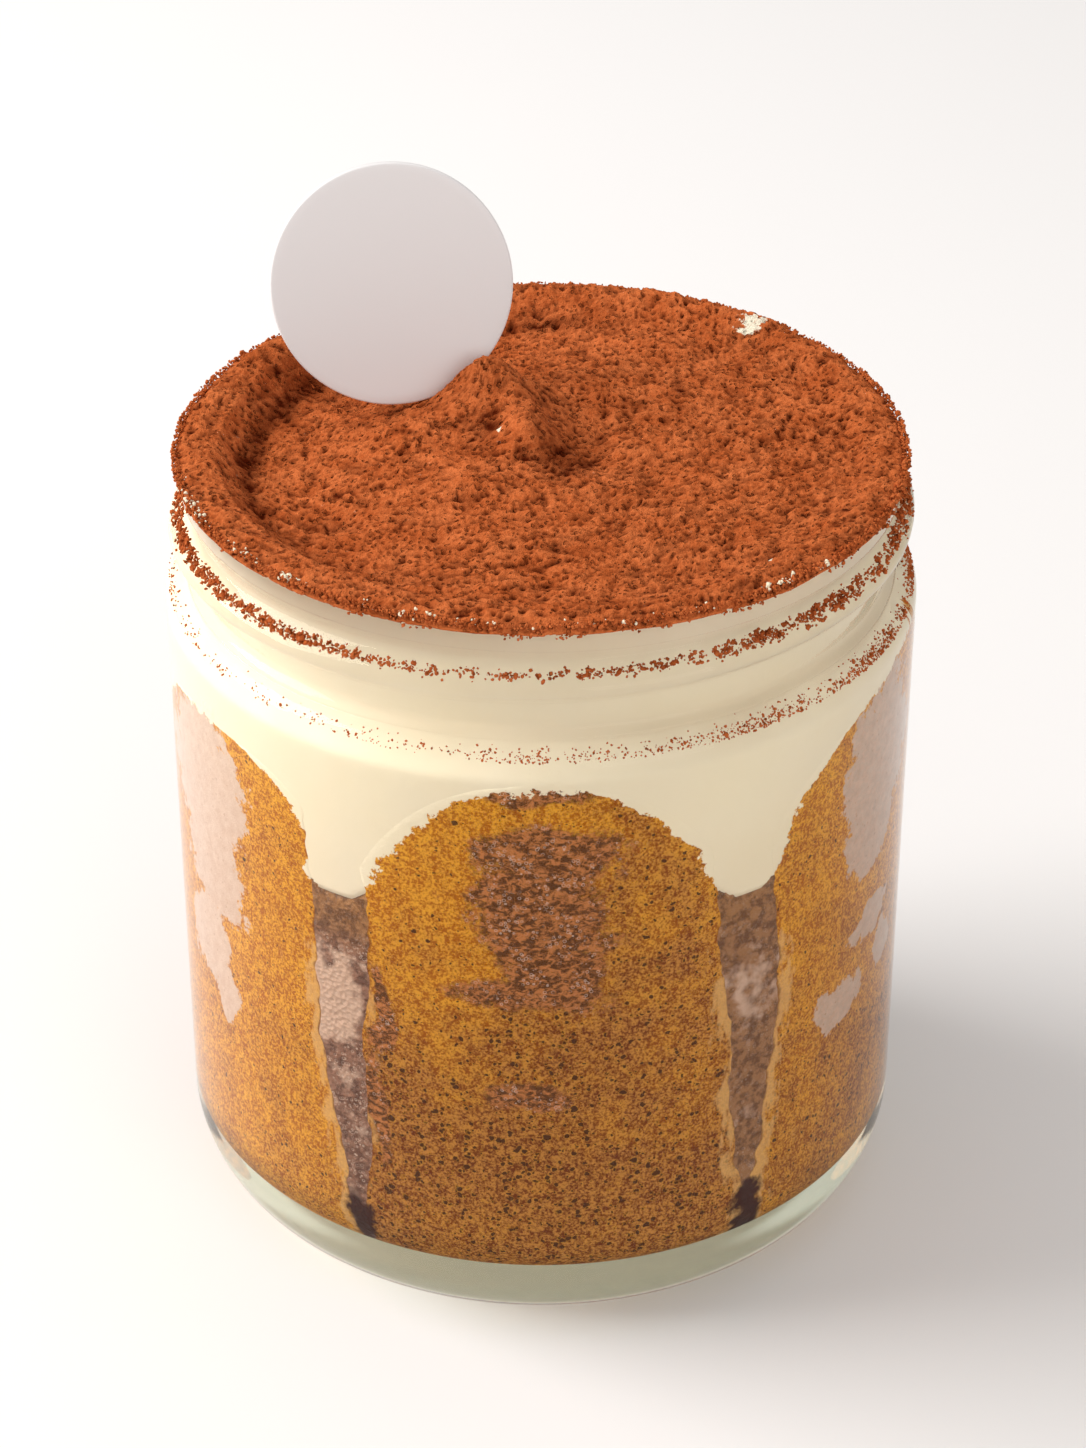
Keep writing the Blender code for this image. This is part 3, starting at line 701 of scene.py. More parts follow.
class TIRAMISU_OT_jar(Operator):
    """Blow the glass jar: a turned form whose neck radius follows the rising thread"""

    bl_idname = "tiramisu.jar"
    bl_label = "Glass Jar"

    def execute(self, context):
        jar = Jar(context.scene.tiramisu_sizes)
        colours = context.scene.tiramisu_colours
        columns = context.scene.tiramisu_sizes.columns
        azimuths = np.linspace(-180.0, 180.0, columns, endpoint=False)
        rim_low = jar.top - jar.rim_round
        below = np.concatenate([
            [[21.0, 1.2], [23.0, 0.7], [24.5, 0.0], [27.0, 0.0]],
            arc_profile(jar.body - jar.heel, jar.heel, jar.heel, -90, 0, 18),
            [[jar.body, 24.0], [jar.body, 45.0], [jar.body, 62.0]],
            arc_profile(jar.body - jar.shoulder_round, jar.shoulder - jar.shoulder_round,
                        jar.shoulder_round, 0, 90, 10),
        ])
        neck_z = np.linspace(jar.shoulder + 0.15, rim_low - 0.1, 48)
        above = np.concatenate([
            arc_profile(jar.rim - jar.rim_round, rim_low, jar.rim_round, 0, 90, 6),
            arc_profile(jar.bore + jar.rim_round, rim_low, jar.rim_round, 90, 180, 6),
        ])
        inner_z = np.concatenate([np.linspace(80.0, 73.0, 3), np.linspace(72.5, 67.5, 12),
                                  np.linspace(50.0, jar.floor + jar.inner_heel, 3)])
        inner = np.stack([jar.cavity(inner_z), inner_z], axis=-1)
        heel = arc_profile(jar.inside - jar.inner_heel, jar.floor + jar.inner_heel,
                           jar.inner_heel, 0, -90, 10)[1:]
        turned = [polar(r, azimuths, z) for r, z in below]
        turned += [polar(jar.neck_outside(z, azimuths), azimuths, z) for z in neck_z]
        turned += [polar(r, azimuths, z) for r, z in np.concatenate([above, inner, heel])]
        mesh = lathe("jar_glass", np.array(turned))
        mesh.vertices[len(mesh.vertices) - 2].co.z = 1.4 * MM
        add_piece(mesh, glass_material("jar_glass", colours), "jar_glass", "jar")
        return {"FINISHED"}


# ---------------------------------------------------------------- contents


def bell(x, y, middle_x, middle_y, wide, deep):
    """Smooth bump of height 1 with the given half widths."""
    return np.exp(-(((x - middle_x) / wide) ** 2) - ((y - middle_y) / deep) ** 2)


def cocoa_height(x, y):
    """Height of the cocoa's smooth surface: a rolled border round a hollow, and a heap at the tag."""
    across = np.hypot(x, y)
    azimuth = np.degrees(np.arctan2(x, -y))
    left = np.clip(np.cos(np.radians(azimuth + 112.0)), 0.0, None) ** 0.7
    land = (0.75 + 0.6 * smoothstep(0.0, 30.0, y)) * np.exp(-(((across - 34.2) / 2.2) ** 2))
    dish = smoothstep(32.6, 28.6, across) * smoothstep(10.0, 27.0, across)
    hollow = -(0.35 + 2.5 * left) * dish
    low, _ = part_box("round_tag")
    face = low[1] / MM + 0.6 + 0.1 * (x + 15.0)
    beside = smoothstep(-2.5, -0.5, x)
    before_tag = np.maximum(smoothstep(1.6, 0.2, y - face), beside)
    heap = 5.2 * before_tag * bell(x, y, -5.4, 8.4, 4.2, 4.2)
    heap = heap + 3.1 * bell(x, y, -1.4, 1.0, 2.9, 5.2) + 0.9 * bell(x, y, -12.0, 3.5, 5.0, 3.0) * before_tag
    cliff = -0.45 * bell(x, y, 4.5, -6.5, 5.5, 3.2) - 0.9 * bell(x, y, 5.6, 0.0, 3.0, 5.5)
    folds = -0.7 * bell(x, y, 7.6, -11.0, 4.6, 2.4) - 0.9 * bell(x, y, -20.3, -12.6, 3.4, 2.4)
    folds = folds - 0.6 * bell(x, y, 11.5, -4.5, 2.2, 6.0) + 0.9 * bell(x, y, -6.5, -9.0, 6.0, 2.8)
    return 84.2 + land + hollow + heap + cliff + folds


class TIRAMISU_OT_cream(Operator):
    """Pour the cream: a turned body against the wall, dented where the ladyfingers show"""

    bl_idname = "tiramisu.cream"
    bl_label = "Mascarpone Cream"

    def execute(self, context):
        jar = Jar(context.scene.tiramisu_sizes)
        colours = context.scene.tiramisu_colours
        azimuths = np.linspace(-180.0, 180.0, 360, endpoint=False)
        heights = np.concatenate([
            np.linspace(jar.floor - jar.contact, jar.floor + jar.inner_heel, 10),
            np.linspace(16.0, 44.0, 8), np.arange(45.0, 73.0, 0.5), np.linspace(73.5, 83.0, 8),
        ])
        rings = []
        for z in heights:
            inside = np.max([outline_inside(i, wrap(azimuths, i), z) for i in range(len(ARCHES))], axis=0)
            dent = 1.5 * smoothstep(1.2, 3.0, inside) * (z < 72.0)
            rings.append(polar(jar.cavity(z) + jar.contact - dent, azimuths, z))
        for radius in (31.6, 30.0, 27.0, 23.0, 18.0, 13.0, 9.0, 5.0, 2.0):
            place = polar(radius, azimuths, 0.0)
            rings.append(polar(radius, azimuths, cocoa_height(place[:, 0], place[:, 1]) - 1.1))
        mesh = lathe("mascarpone", np.array(rings))
        add_piece(mesh, cream_material("mascarpone", colours), "mascarpone", "mascarpone_cream")
        return {"FINISHED"}


def wrap(azimuth, index):
    """The azimuth brought within half a turn of a ladyfinger's middle."""
    middle = ARCHES[index]["middle"]
    return (azimuth - middle + 180.0) % 360.0 - 180.0 + middle


def pool_field(azimuth, z):
    """1 in the coffee that gathers where two ladyfingers meet on the floor, falling to 0."""
    field = 0.0
    for index in range(len(GROOVES)):
        middle = groove_middle(index, z)
        away = np.abs((azimuth - middle + 180.0) % 360.0 - 180.0)
        foot = GROOVES[index]["foot"]
        amount = 1.0 if index < 2 else 0.3
        field = np.maximum(field, amount * np.exp(-(away / 3.4) ** 2) * smoothstep(foot + 1.5, foot - 2.5, z))
    return field


class TIRAMISU_OT_ladyfingers(Operator):
    """Stand the ladyfingers round the wall: ovals bent round the jar, pressed to the glass"""

    bl_idname = "tiramisu.ladyfingers"
    bl_label = "Ladyfingers"

    def execute(self, context):
        jar = Jar(context.scene.tiramisu_sizes)
        material = sponge_material("soaked_ladyfinger", context.scene.tiramisu_colours)
        for index in range(len(ARCHES)):
            mesh = self.finger(jar, index)
            add_piece(mesh, material, "soaked_ladyfinger", f"ladyfinger_{index + 1}")
        return {"FINISHED"}

    def finger(self, jar, index):
        """One ladyfinger: rows of rings whose outer side lies in the wall's inner skin."""
        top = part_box(f"ladyfinger_{index + 1}")[1][2] / MM
        rows = np.concatenate([
            np.linspace(jar.floor - jar.contact, jar.floor + jar.inner_heel, 14),
            np.arange(jar.floor + jar.inner_heel + 0.4, top - 0.4, 0.4), [top - 0.15, top],
        ])[:, None]
        left = groove_middle(index, rows) + groove_half(index, rows)
        right = groove_middle(index + 1, rows) - groove_half(index + 1, rows)
        left = left + 0.9 * fractal(rows / 2.6, index * 7.0, octaves=4, seed=3)
        right = right - 0.9 * fractal(rows / 2.6, index * 9.0, octaves=4, seed=4)
        middle, half = (left + right) / 2.0, (right - left) / 2.0
        dome = np.clip(1.0 - np.clip((rows - 44.0) / (top - 44.0), 0.0, 1.0) ** 5, 0.0, None) ** 0.25
        across = np.linspace(1.0, -1.0, 130)[None, :]
        inner = np.linspace(-0.94, 0.94, 20)[None, :]
        outer_azimuth = middle - half * across
        shown = outline_inside(index, outer_azimuth, rows)
        rounding = 0.9 * np.clip((np.abs(across) - 0.975) / 0.025, 0.0, 1.0) ** 2
        tuck = 0.14 * smoothstep(-0.7, -2.4, shown) + 1.5 * smoothstep(-2.2, -3.8, shown)
        wall = np.minimum(jar.cavity(rows), jar.inside) + jar.contact + 0.06
        outer_radius = wall - rounding - tuck
        inner_radius = 29.0 - 7.6 * dome * (1.0 - np.abs(inner) ** 4) ** 0.25
        inner_azimuth = middle + half * inner * (0.4 + 0.6 * dome)
        azimuth = np.concatenate([outer_azimuth, inner_azimuth[:, ::-1]], axis=1)
        radius = np.concatenate([outer_radius, inner_radius[:, ::-1] + 0 * rows], axis=1)
        rings = polar(radius, azimuth, rows)
        z = rows + 0.0 * azimuth
        groove = np.minimum(azimuth - left, right - azimuth) * DEGREES_TO_MM
        attributes = {
            "show": outline_inside(index, azimuth, z)
            + 0.8 * fractal(azimuth / 3.5, z / 2.2, octaves=3, seed=90 + index) - 0.3,
            "off": patch_field(PATCHES[index], wrap(azimuth, index), z)
            + 0.25 * fractal(azimuth / 3.0, z / 2.0, octaves=3, seed=index),
            "depth": self.depth(index, wrap(azimuth, index), z),
            "edge": self.edge(index, azimuth - left, right - azimuth, z),
            # rim: painted shade along the groove edges.
            "rim": smoothstep(1.1, 0.1, groove) * smoothstep(53.0, 47.0, z),
            "pool": pool_field(azimuth, z),
            "pale": np.full(z.shape, PALE[index]),
        }
        return lathe(f"sponge_finger_{index + 1}", rings, attributes)

    def depth(self, index, azimuth, z):
        """How soaked the sponge is: more towards the floor, and to the right in the front one."""
        amount = SOAK[index] * smoothstep(60.0, 16.0, z)
        if index == 0:
            amount = amount + 0.42 * smoothstep(-12.0, 8.0, azimuth) * smoothstep(25.0, 45.0, z)
        return amount

    def edge(self, index, from_left, from_right, z):
        """1 along the sides of a ladyfinger where the pale crust shows, falling to 0."""
        left, right = EDGES[index]
        left = left * smoothstep(3.6, 0.3, from_left * DEGREES_TO_MM)
        right = right * smoothstep(3.6, 0.3, from_right * DEGREES_TO_MM)
        return np.maximum(left, right) * smoothstep(50.0, 38.0, z)


class TIRAMISU_OT_syrup(Operator):
    """Fill the grooves with syrup: thin wedges that narrow towards the floor"""

    bl_idname = "tiramisu.syrup"
    bl_label = "Coffee Syrup"

    def execute(self, context):
        jar = Jar(context.scene.tiramisu_sizes)
        material = syrup_material("coffee_syrup", context.scene.tiramisu_colours)
        for index in range(len(GROOVES)):
            mesh = self.wedge(jar, index)
            add_piece(mesh, material, "coffee_syrup", f"coffee_syrup_{index + 1}")
        return {"FINISHED"}

    def wedge(self, jar, index):
        """One wedge: its wall side is a strip a little wider than the groove."""
        tip = GROOVES[index]["tip"]
        rows = np.linspace(jar.floor + 0.6, tip + 2.6, 130)[:, None]
        across = np.linspace(-1.0, 1.0, 34)[None, :]
        half = groove_half(index, rows) + 2.4
        azimuth = groove_middle(index, rows) + half * across
        lift = tip + 1.2 * np.clip(np.abs(azimuth - groove_middle(index, rows)) / 4.5, 0.0, 1.0) ** 2
        tuck = 1.2 * smoothstep(-0.1, 0.9, rows - lift)
        wall = jar.cavity(rows) + jar.contact + 0.03 - tuck
        ends = np.clip((np.abs(across) - 0.9) / 0.1, 0.0, 1.0)
        outer = wall - 0.7 * ends ** 2
        inner_azimuth = groove_middle(index, rows) + half * 0.4 * across[:, ::-1][:, ::4]
        inner = jar.cavity(rows) - 2.8 + 0.0 * inner_azimuth
        all_azimuth = np.concatenate([azimuth, inner_azimuth], axis=1)
        rings = polar(np.concatenate([outer, inner], axis=1), all_azimuth, rows)
        z = rows + 0.0 * all_azimuth
        froth = np.exp(-((z - 39.0) / 6.5) ** 2) * (0.95 if index == 0 else 0.35)
        if index == 0:
            froth = 1.3 * froth * smoothstep(5.0, 1.0, all_azimuth - groove_middle(index, z))
        froth = froth + 0.4 * fractal(all_azimuth / 2.0, z / 2.0, octaves=3, seed=20 + index)
        froth = froth - smoothstep(44.0, 49.0, z)
        attributes = {"froth": froth, "pool": pool_field(all_azimuth, z)}
        attributes["warm"] = np.maximum(0.0 if index == 0 else 0.85, smoothstep(44.0, 49.0, z))
        return lathe(f"syrup_wedge_{index + 1}", rings, attributes)


# ---------------------------------------------------------------- cocoa


def disc_grid(count):
    """Points of a square grid pressed into a unit disc, all cells about the same size."""
    side = np.linspace(-1.0, 1.0, count)
    u, v = np.meshgrid(side, side)
    wide = np.abs(u) > np.abs(v)
    radius = np.where(wide, u, v)
    with np.errstate(divide="ignore", invalid="ignore"):
        turn = np.where(wide, np.pi / 4 * v / u, np.pi / 2 - np.pi / 4 * u / v)
    turn = np.nan_to_num(turn)
    return radius * np.cos(turn), radius * np.sin(turn)


def along_arcs(x, y, pattern):
    """A pattern of (along, across) laid along arcs round the heap: blend of four fixed directions."""
    heading = np.arctan2(y - 8.0, x + 4.0) + np.pi / 2.0
    total, weights = 0.0, 0.0
    for quarter in range(4):
        angle = quarter * np.pi / 4.0
        weight = np.clip(np.cos(2.0 * (heading - angle)), 0.0, None) ** 2 + 1e-4
        along = x * np.cos(angle) + y * np.sin(angle)
        aside = -x * np.sin(angle) + y * np.cos(angle)
        total = total + weight * pattern(along + 40.0 * quarter, aside)
        weights = weights + weight
    return total / weights


def cocoa_relief(x, y, sizes):
    """Relief of the powder over its smooth surface, and the painted shade at each point: darker in pits, in
    wave troughs, between clumps, in folds and on the slope right of the heap.

    relief = rolling clumps + wavy ridges - pits; the pits are short and lie along arcs.
    """
    pitch = sizes.pit_pitch / MM
    depth = sizes.pit_depth / MM
    warp_x = x + 0.5 * noise(x / 1.9, y / 1.9, seed=51)
    warp_y = y + 0.5 * noise(x / 1.9, y / 1.9, seed=52)

    def pits(along, aside):
        distance, value = nearest_cell(along / (pitch * 1.1), aside / (pitch * 0.75), 53)
        return smoothstep(0.42, 0.10, distance) * smoothstep(-0.7, 0.5, value)

    def ridges(along, aside):
        return fractal(along / 1.5, aside / 0.62, octaves=2, seed=56)

    hole = along_arcs(warp_x, warp_y, pits)
    wave = along_arcs(warp_x, warp_y, ridges)
    clump, _ = nearest_cell(warp_x / 2.3, warp_y / 1.9, 58)
    crumb, _ = nearest_cell(warp_x / 0.8, warp_y / 0.7, 59)
    rolling = 0.45 * fractal(x / 4.6, y / 3.2, octaves=3, seed=60)
    height = rolling + 0.3 * (0.5 - clump) + 0.34 * (0.5 - crumb) + 0.24 * wave - depth * hole
    # Painted shade: darker in pits, wave troughs and between clumps, where the surface lies below the ring
    # round it, and on the slope right of the heap.
    shade = hole + 0.45 * smoothstep(0.0, -0.5, wave) + 0.35 * smoothstep(0.5, 0.85, clump)
    around = 0.0
    for angle in np.radians(np.arange(0.0, 360.0, 45.0)):
        around = around + cocoa_height(x + 1.7 * np.cos(angle), y + 1.7 * np.sin(angle)) / 8.0
    fold = np.clip(around - cocoa_height(x, y) - 0.06, 0.0, None) * (np.hypot(x, y) < 33.5)
    shade = np.clip(shade + 1.8 * fold + 0.6 * bell(x, y, 1.8, -3.6, 2.8, 3.2), 0.0, 1.0)
    return height, shade


class TIRAMISU_OT_cocoa(Operator):
    """Sift the cocoa: an even grid pressed into a disc and raised by the powder's relief"""

    bl_idname = "tiramisu.cocoa"
    bl_label = "Cocoa Layer"

    def execute(self, context):
        sizes, colours = context.scene.tiramisu_sizes, context.scene.tiramisu_colours
        count = 288
        unit_x, unit_y = disc_grid(count)
        edge = sizes.cocoa_radius / MM
        turn = np.degrees(np.arctan2(unit_x, -unit_y))
        around = np.radians(turn)
        uneven = 0.22 * fractal(np.cos(around) * 9.0, np.sin(around) * 9.0, octaves=4, seed=70)
        reach = edge + uneven * smoothstep(0.9, 1.0, np.hypot(unit_x, unit_y))
        x, y = unit_x * reach, unit_y * reach
        relief, shade = cocoa_relief(x, y, sizes)
        across = np.hypot(x, y)
        fall = 0.5 * smoothstep(edge - 1.2, edge + 0.1, across) ** 2
        z = cocoa_height(x, y) + relief
        z = np.where(across > 31.9, np.maximum(z, 84.55), z) - fall
        points = np.stack([x, y, z], axis=-1)
        rim = self.border(points)
        skirt = []
        bearing = np.arctan2(rim[:, 1], rim[:, 0])
        radius = np.hypot(rim[:, 0], rim[:, 1])
        for inward, drop in ((0.0, 0.25), (0.25, 0.5), (0.9, 0.65), (1.9, 0.6), (3.8, 0.7), (5.2, 1.6)):
            inner = radius - inward
            low = np.minimum(rim[:, 2], 85.3) - drop
            skirt.append(np.stack([inner * np.cos(bearing), inner * np.sin(bearing), low], axis=-1))
        for inner in (27.0, 20.0, 12.0, 4.0):
            px, py = inner * np.cos(bearing), inner * np.sin(bearing)
            skirt.append(np.stack([px, py, cocoa_height(px, py) - 1.6], axis=-1))
        mesh = self.close(points, skirt, count, {"cocoa_shade": shade, "bare": self.bare(x, y)})
        add_piece(mesh, cocoa_material("cocoa", colours), "cocoa", "cocoa_layer")
        return {"FINISHED"}

    def bare(self, x, y):
        """1 where cream shows through the cocoa."""
        spots = ((22.1, 25.0, 1.3, 1.5), (-4.2, 0.3, 0.3, 0.8), (21.5, -24.2, 0.35, 0.4))
        return np.max([bell(x, y, *spot) for spot in spots], axis=0)

    def border(self, points):
        """The grid's border points in order, anticlockwise seen from above."""
        return points.reshape(-1, 3)[border_indices(points.shape[0])]

    def close(self, points, skirt, count, attributes):
        """Mesh of the grid, its skirt down the edge and its underside."""
        ring = border_indices(count)
        size = len(ring)
        base = count * count
        quads = [grid_quads(count, count)]
        upper = ring
        for level in range(len(skirt)):
            lower = base + level * size + np.arange(size)
            quads.append(np.stack([lower, np.roll(lower, -1), np.roll(upper, -1), upper], axis=-1))
            upper = lower
        centre = base + len(skirt) * size
        fan = np.stack([np.roll(upper, -1), upper, np.full(size, centre)], axis=-1)
        middle = skirt[-1].mean(axis=0)[None, :]
        every = np.concatenate([points.reshape(-1, 3)] + skirt + [middle])
        full = {}
        for label, values in attributes.items():
            full[label] = np.concatenate([values.ravel(), np.zeros(len(every) - base)])
        return make_mesh("cocoa", every, np.concatenate(quads), fan, full)


def border_indices(count):
    """Indices round the border of a square grid, anticlockwise."""
    side = np.arange(count - 1)
    return np.concatenate([
        side, (side + 1) * count - 1, count * count - 1 - side, (count - 1 - side) * count,
    ])


GRAIN_CORNERS = np.array([
    (1, 0, 0), (-1, 0, 0), (0, 1, 0), (0, -1, 0), (0, 0, 1), (0, 0, -1),
    (0.6, 0.6, 0.6), (-0.6, 0.6, 0.6), (0.6, -0.6, 0.6), (0.6, 0.6, -0.6),
    (-0.6, -0.6, 0.6), (-0.6, 0.6, -0.6), (0.6, -0.6, -0.6), (-0.6, -0.6, -0.6),
])


def grain_faces():
    """Triangles of a lump: each corner point of a cube joined to the middles of its three faces."""
    faces = []
    for index, corner in enumerate(GRAIN_CORNERS[6:], start=6):
        x, y, z = (0 if corner[0] > 0 else 1), (2 if corner[1] > 0 else 3), (4 if corner[2] > 0 else 5)
        turn = [(x, y), (y, z), (z, x)]
        if np.prod(corner) < 0:
            turn = [(b, a) for a, b in turn]
        faces += [(a, b, index) for a, b in turn]
    return np.array(faces)


def make_grains(name, centres, sizes, seed):
    """Joined mesh of uneven lumps at the given places."""
    random = np.random.default_rng(seed)
    count = len(centres)
    shape = GRAIN_CORNERS[None] * random.uniform(0.7, 1.25, (count, len(GRAIN_CORNERS), 1))
    shape = shape * random.uniform(0.7, 1.3, (count, 1, 3))
    spin = random.normal(size=(count, 3, 3))
    turned, _ = np.linalg.qr(spin)
    turned = turned * np.sign(np.linalg.det(turned))[:, None, None]
    shape = np.einsum("nij,nkj->nki", turned, shape) * sizes[:, None, None] / 2.0
    points = (shape + centres[:, None, :]).reshape(-1, 3)
    faces = grain_faces()[None] + np.arange(count)[:, None, None] * len(GRAIN_CORNERS)
    return make_mesh(name, points, np.zeros((0, 4)), faces.reshape(-1, 3))


def cluster(azimuth, seed):
    """Uneven 0 to 1 along the jar, for grains that gather in clusters."""
    bearing = np.radians(azimuth)
    lumpy = fractal(np.cos(bearing) * 14.0, np.sin(bearing) * 14.0, octaves=3, seed=seed)
    return np.clip(0.5 + 1.2 * lumpy, 0.0, 1.0)


class TIRAMISU_OT_grains(Operator):
    """Dust the thread, the shoulder and the rim with loose cocoa grains"""

    bl_idname = "tiramisu.grains"
    bl_label = "Loose Cocoa"

    def execute(self, context):
        sizes = context.scene.tiramisu_sizes
        jar = Jar(sizes)
        material = cocoa_material("loose_cocoa", context.scene.tiramisu_colours, loose=True)
        random = np.random.default_rng(7)
        for name, places in (
            ("thread_grains", self.on_thread(jar, random)),
            ("shoulder_grains", self.on_shoulder(jar, random)),
            ("rim_grains", self.on_rim(sizes, random)),
        ):
            usual = sizes.grain / MM * (0.7 if name == "shoulder_grains" else 1.0)
            size = usual * random.lognormal(0.0, 0.35, len(places))
            mesh = make_grains(name, places, size, len(name))
            add_piece(mesh, material, "cocoa")
        return {"FINISHED"}

    def piled(self, azimuths, radii, heights, each, random, spread):
        """Places piled round each middle, like small heaps."""
        azimuths, radii, heights = (np.repeat(values, each) for values in (azimuths, radii, heights))
        count = azimuths.size
        azimuths = azimuths + random.normal(0.0, spread, count) * 1.6
        heights = heights + np.abs(random.normal(0.0, spread, count)) * 0.7
        return azimuths, radii + random.normal(0.0, spread, count) * 0.45, heights

    def on_thread(self, jar, random):
        """Places on the thread's upper side: heaped at the left and right, thin at the front."""
        azimuth = random.uniform(-180.0, 180.0, 2600)
        side = smoothstep(12.0, 52.0, np.abs(azimuth + 4.0))
        dense = np.clip(0.16 + 0.5 * side + 0.4 * smoothstep(0.0, 55.0, azimuth), 0.0, 1.0)
        keep = random.uniform(size=azimuth.size) < dense * (0.3 + 0.7 * cluster(azimuth, 31))
        azimuth, dense = azimuth[keep], dense[keep]
        radius = jar.neck + 0.9 + random.uniform(0.0, 1.2, azimuth.size) * (0.4 + 0.6 * dense)
        azimuth, radius, pile = self.piled(azimuth, radius, 0.0 * azimuth, 4, random, 0.26)
        thin = random.uniform(-180.0, 180.0, 2600)
        thin = thin[random.uniform(size=thin.size) < 0.25 + 0.75 * cluster(thin, 33)]
        azimuth = np.concatenate([azimuth, thin])
        radius = np.concatenate([radius, jar.neck + 1.3 + random.normal(0.0, 0.22, thin.size)])
        pile = np.concatenate([pile, random.uniform(0.0, 0.12, thin.size)])
        radius = np.clip(radius, jar.neck + 0.2, jar.thread_crest - 0.02)
        level = (radius - jar.neck) / (jar.thread_crest - jar.neck)
        z = jar.thread_z(azimuth) + 2.3 * np.sqrt(1.0 - level ** (1 / 1.5)) * jar.thread_size(azimuth)
        return polar(radius, azimuth, z + pile)

    def on_shoulder(self, jar, random):
        """Places along the shoulder's outer corner, more at the right."""
        azimuth = random.uniform(-180.0, 180.0, 12000)
        dense = np.clip(0.26 + 0.6 * smoothstep(-8.0, 60.0, azimuth) - 0.1 * (azimuth < -30.0), 0.0, 1.0)
        keep = random.uniform(size=azimuth.size) < dense * (0.25 + 0.75 * cluster(azimuth, 35))
        azimuth = azimuth[keep]
        inward = np.abs(random.normal(0.0, 0.5, azimuth.size)) + 0.35
        radius = jar.body - np.clip(inward, 0.1, jar.shoulder_round)
        corner = jar.body - jar.shoulder_round
        z = jar.shoulder - jar.shoulder_round + np.sqrt(jar.shoulder_round ** 2 - (radius - corner) ** 2)
        return polar(radius, azimuth, z + 0.02)

    def on_rim(self, sizes, random):
        """Places along the cocoa's outer edge, where it hangs in small lumps."""
        azimuth = random.uniform(-180.0, 180.0, 5600)
        edge = sizes.cocoa_radius / MM
        radius = edge + random.uniform(-0.5, 0.2, azimuth.size)
        hang = random.uniform(size=azimuth.size) ** 1.8 * (0.3 + 0.9 * cluster(azimuth, 38))
        return polar(radius, azimuth, 84.8 - 1.25 * hang)


class TIRAMISU_OT_specks(Operator):
    """Scatter small specks of cream along the cocoa's edge"""

    bl_idname = "tiramisu.specks"
    bl_label = "Cream Specks"

    def execute(self, context):
        sizes, colours = context.scene.tiramisu_sizes, context.scene.tiramisu_colours
        random = np.random.default_rng(12)
        azimuth = random.uniform(-78.0, 48.0, 420)
        azimuth = azimuth[random.uniform(size=azimuth.size) < cluster(azimuth, 41) ** 1.5]
        radius = sizes.cocoa_radius / MM + random.uniform(-0.9, 0.12, azimuth.size)
        places = polar(radius, azimuth, 84.95 - 0.55 * random.uniform(size=azimuth.size))
        mesh = make_grains("cream_specks", places, 0.26 * random.lognormal(0.0, 0.35, azimuth.size), 3)
        add_piece(mesh, cream_material("specks", colours), "mascarpone")
        return {"FINISHED"}


class TIRAMISU_OT_tag(Operator):
    """Cut the round tag: a turned disc with softened edges that leans on the cocoa"""

    bl_idname = "tiramisu.tag"
    bl_label = "Round Tag"

    def execute(self, context):
        sizes, colours = context.scene.tiramisu_sizes, context.scene.tiramisu_colours
        radius = sizes.tag_radius / MM
        half, soft = 0.7, 0.22
        azimuths = np.linspace(-180.0, 180.0, 160, endpoint=False)
        profile = np.concatenate([
            [[radius * 0.5, -half], [radius - 1.0, -half]],
            arc_profile(radius - soft, soft - half, soft, -90, 0, 4),
            arc_profile(radius - soft, half - soft, soft, 0, 90, 4),
            [[radius - 1.0, half], [radius * 0.5, half]],
        ])
        mesh = lathe("tag_card", np.array([polar(r, azimuths, z) for r, z in profile]))
        low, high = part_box("round_tag")
        turn = Euler((np.radians(90.0) - sizes.tag_lean, 0.0, sizes.tag_turn), "XYZ").to_matrix().to_4x4()
        mesh.transform(turn)
        middle = (Vector(low) + Vector(high)) / 2.0
        places = np.empty(len(mesh.vertices) * 3)
        mesh.vertices.foreach_get("co", places)
        places = places.reshape(-1, 3) + np.array(middle)
        mesh.vertices.foreach_set("co", places.ravel())
        mesh.update()
        add_piece(mesh, tag_material("tag_card", colours), "tag_card", "round_tag")
        return {"FINISHED"}


# ---------------------------------------------------------------- stage


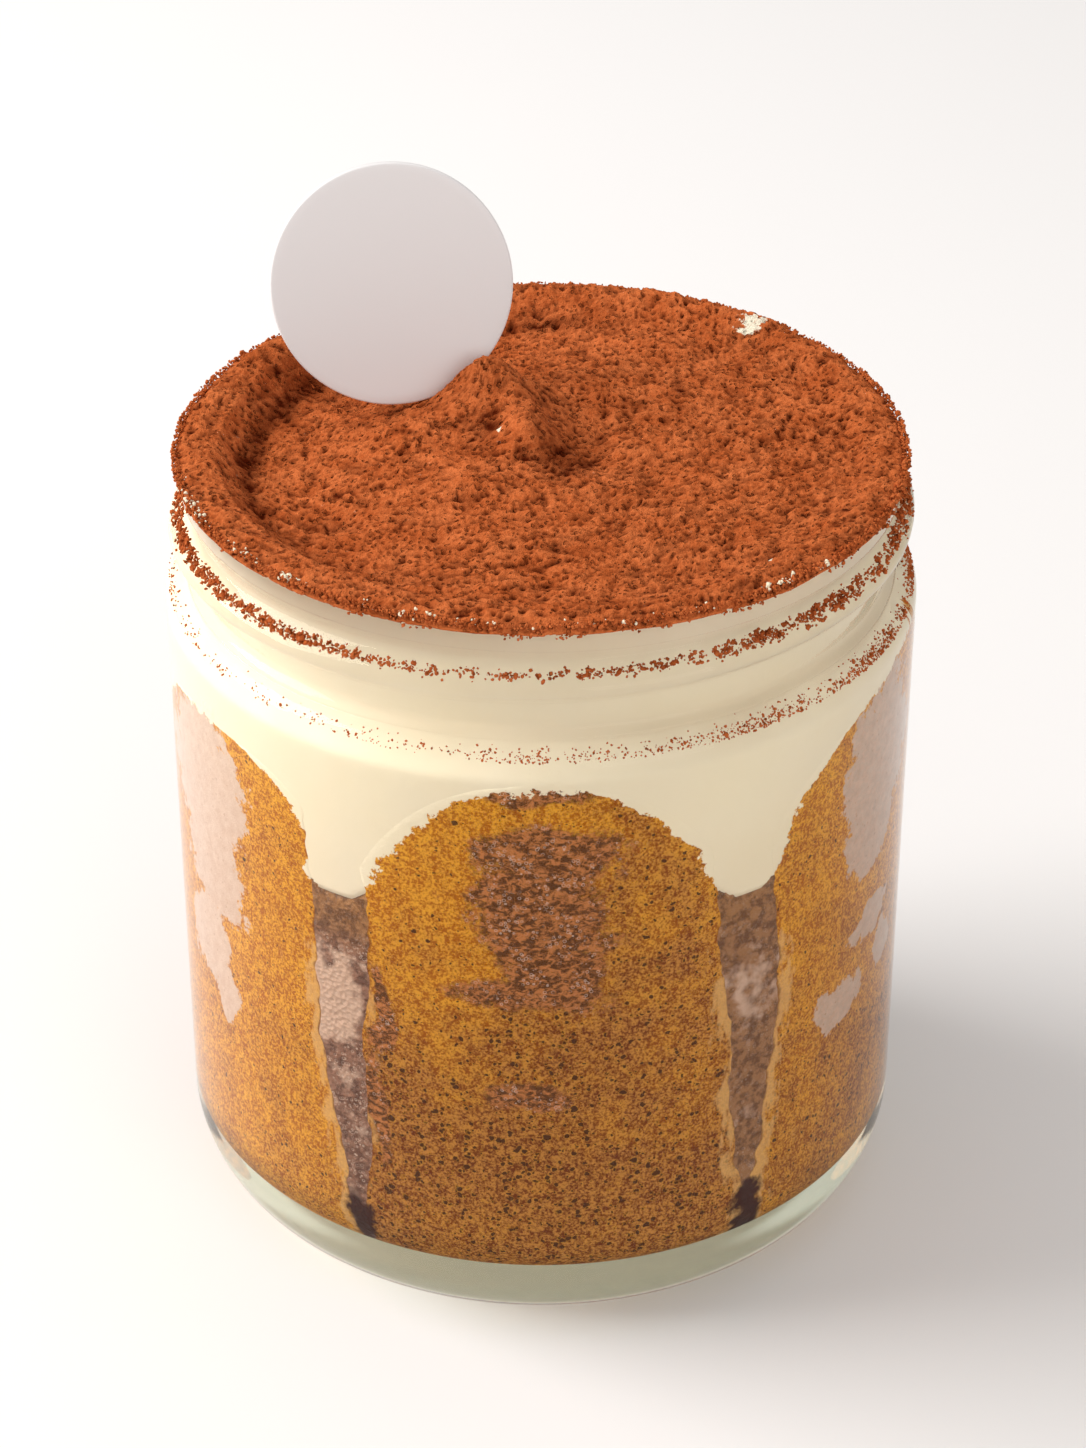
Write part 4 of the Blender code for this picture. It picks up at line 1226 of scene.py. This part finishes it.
class TIRAMISU_OT_stage(Operator):
    """Lay the pale ground and set the soft studio lights and the camera"""

    bl_idname = "tiramisu.stage"
    bl_label = "Stage"

    def execute(self, context):
        scene = context.scene
        self.ground(scene)
        self.world(scene)
        self.lamp(scene, "key", (-0.66, 0.10, 0.62), 0.55, 7.6, (1.0, 0.985, 0.965))
        self.lamp(scene, "front_fill", (0.45, -0.75, 0.40), 0.6, 2.3, (1.0, 0.985, 0.97))
        self.camera(scene)
        scene.view_settings.view_transform = "Standard"
        return {"FINISHED"}

    def ground(self, scene):
        """A wide flat ground."""
        points = np.array([(-4000, -4000, 0), (4000, -4000, 0), (4000, 4000, 0), (-4000, 4000, 0)], float)
        mesh = make_mesh("ground", points, [(0, 1, 2, 3)], np.zeros((0, 3)))
        ground = bpy.data.objects.new("ground", mesh)
        scene.collection.objects.link(ground)
        mesh.materials.append(floor_material("ground", scene.tiramisu_colours))

    def world(self, scene):
        """Even white light from all round."""
        world = bpy.data.worlds.new("studio")
        world.use_nodes = True
        background = world.node_tree.nodes["Background"]
        background.inputs["Color"].default_value = (1.0, 0.99, 0.98, 1.0)
        background.inputs["Strength"].default_value = 0.58
        scene.world = world

    def lamp(self, scene, name, place, size, power, tint):
        """Square lamp aimed at the jar's middle."""
        data = bpy.data.lights.new(name, "AREA")
        data.size = size
        data.energy = power
        data.color = tint
        lamp = bpy.data.objects.new(name, data)
        lamp.location = place
        aim = Vector((0.0, 0.0, 0.045)) - Vector(place)
        lamp.rotation_euler = aim.to_track_quat("-Z", "Y").to_euler()
        scene.collection.objects.link(lamp)

    def camera(self, scene):
        """Camera in front of the jar, looking down on it."""
        data = bpy.data.cameras.new("camera")
        data.lens = CAMERA_LENS
        data.sensor_width = 36.0
        camera = bpy.data.objects.new("camera", data)
        _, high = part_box("jar")
        target = Vector((0.0002, 0.0, CAMERA_AIM * high[2]))
        away = Vector((0.0, -np.cos(CAMERA_ELEVATION), np.sin(CAMERA_ELEVATION)))
        camera.location = target + away * CAMERA_DISTANCE
        camera.rotation_euler = (-away).to_track_quat("-Z", "Y").to_euler()
        scene.collection.objects.link(camera)
        scene.camera = camera


# ---------------------------------------------------------------- add-on


PIECES = (
    TIRAMISU_OT_jar, TIRAMISU_OT_cream, TIRAMISU_OT_ladyfingers, TIRAMISU_OT_syrup,
    TIRAMISU_OT_cocoa, TIRAMISU_OT_grains, TIRAMISU_OT_specks, TIRAMISU_OT_tag, TIRAMISU_OT_stage,
)


class TIRAMISU_PT_panel(Panel):
    """Lists the pieces of the tiramisu jar"""

    bl_idname = "TIRAMISU_PT_panel"
    bl_label = "Tiramisu Jar"
    bl_space_type = "VIEW_3D"
    bl_region_type = "UI"
    bl_category = "Tiramisu"

    def draw(self, context):
        for piece in PIECES:
            self.layout.operator(piece.bl_idname)


CLASSES = (TiramisuSizes, TiramisuColours, *PIECES, TIRAMISU_PT_panel)


def register():
    """Register the classes and the settings."""
    for item in CLASSES:
        bpy.utils.register_class(item)
    bpy.types.Scene.tiramisu_sizes = PointerProperty(type=TiramisuSizes)
    bpy.types.Scene.tiramisu_colours = PointerProperty(type=TiramisuColours)


def unregister():
    """Remove the settings and the classes."""
    del bpy.types.Scene.tiramisu_colours
    del bpy.types.Scene.tiramisu_sizes
    for item in reversed(CLASSES):
        bpy.utils.unregister_class(item)


def main():
    """Make every piece and the stage."""
    register()
    for piece in PIECES:
        group, call = piece.bl_idname.split(".")
        getattr(getattr(bpy.ops, group), call)()


if __name__ == "__main__":
    main()
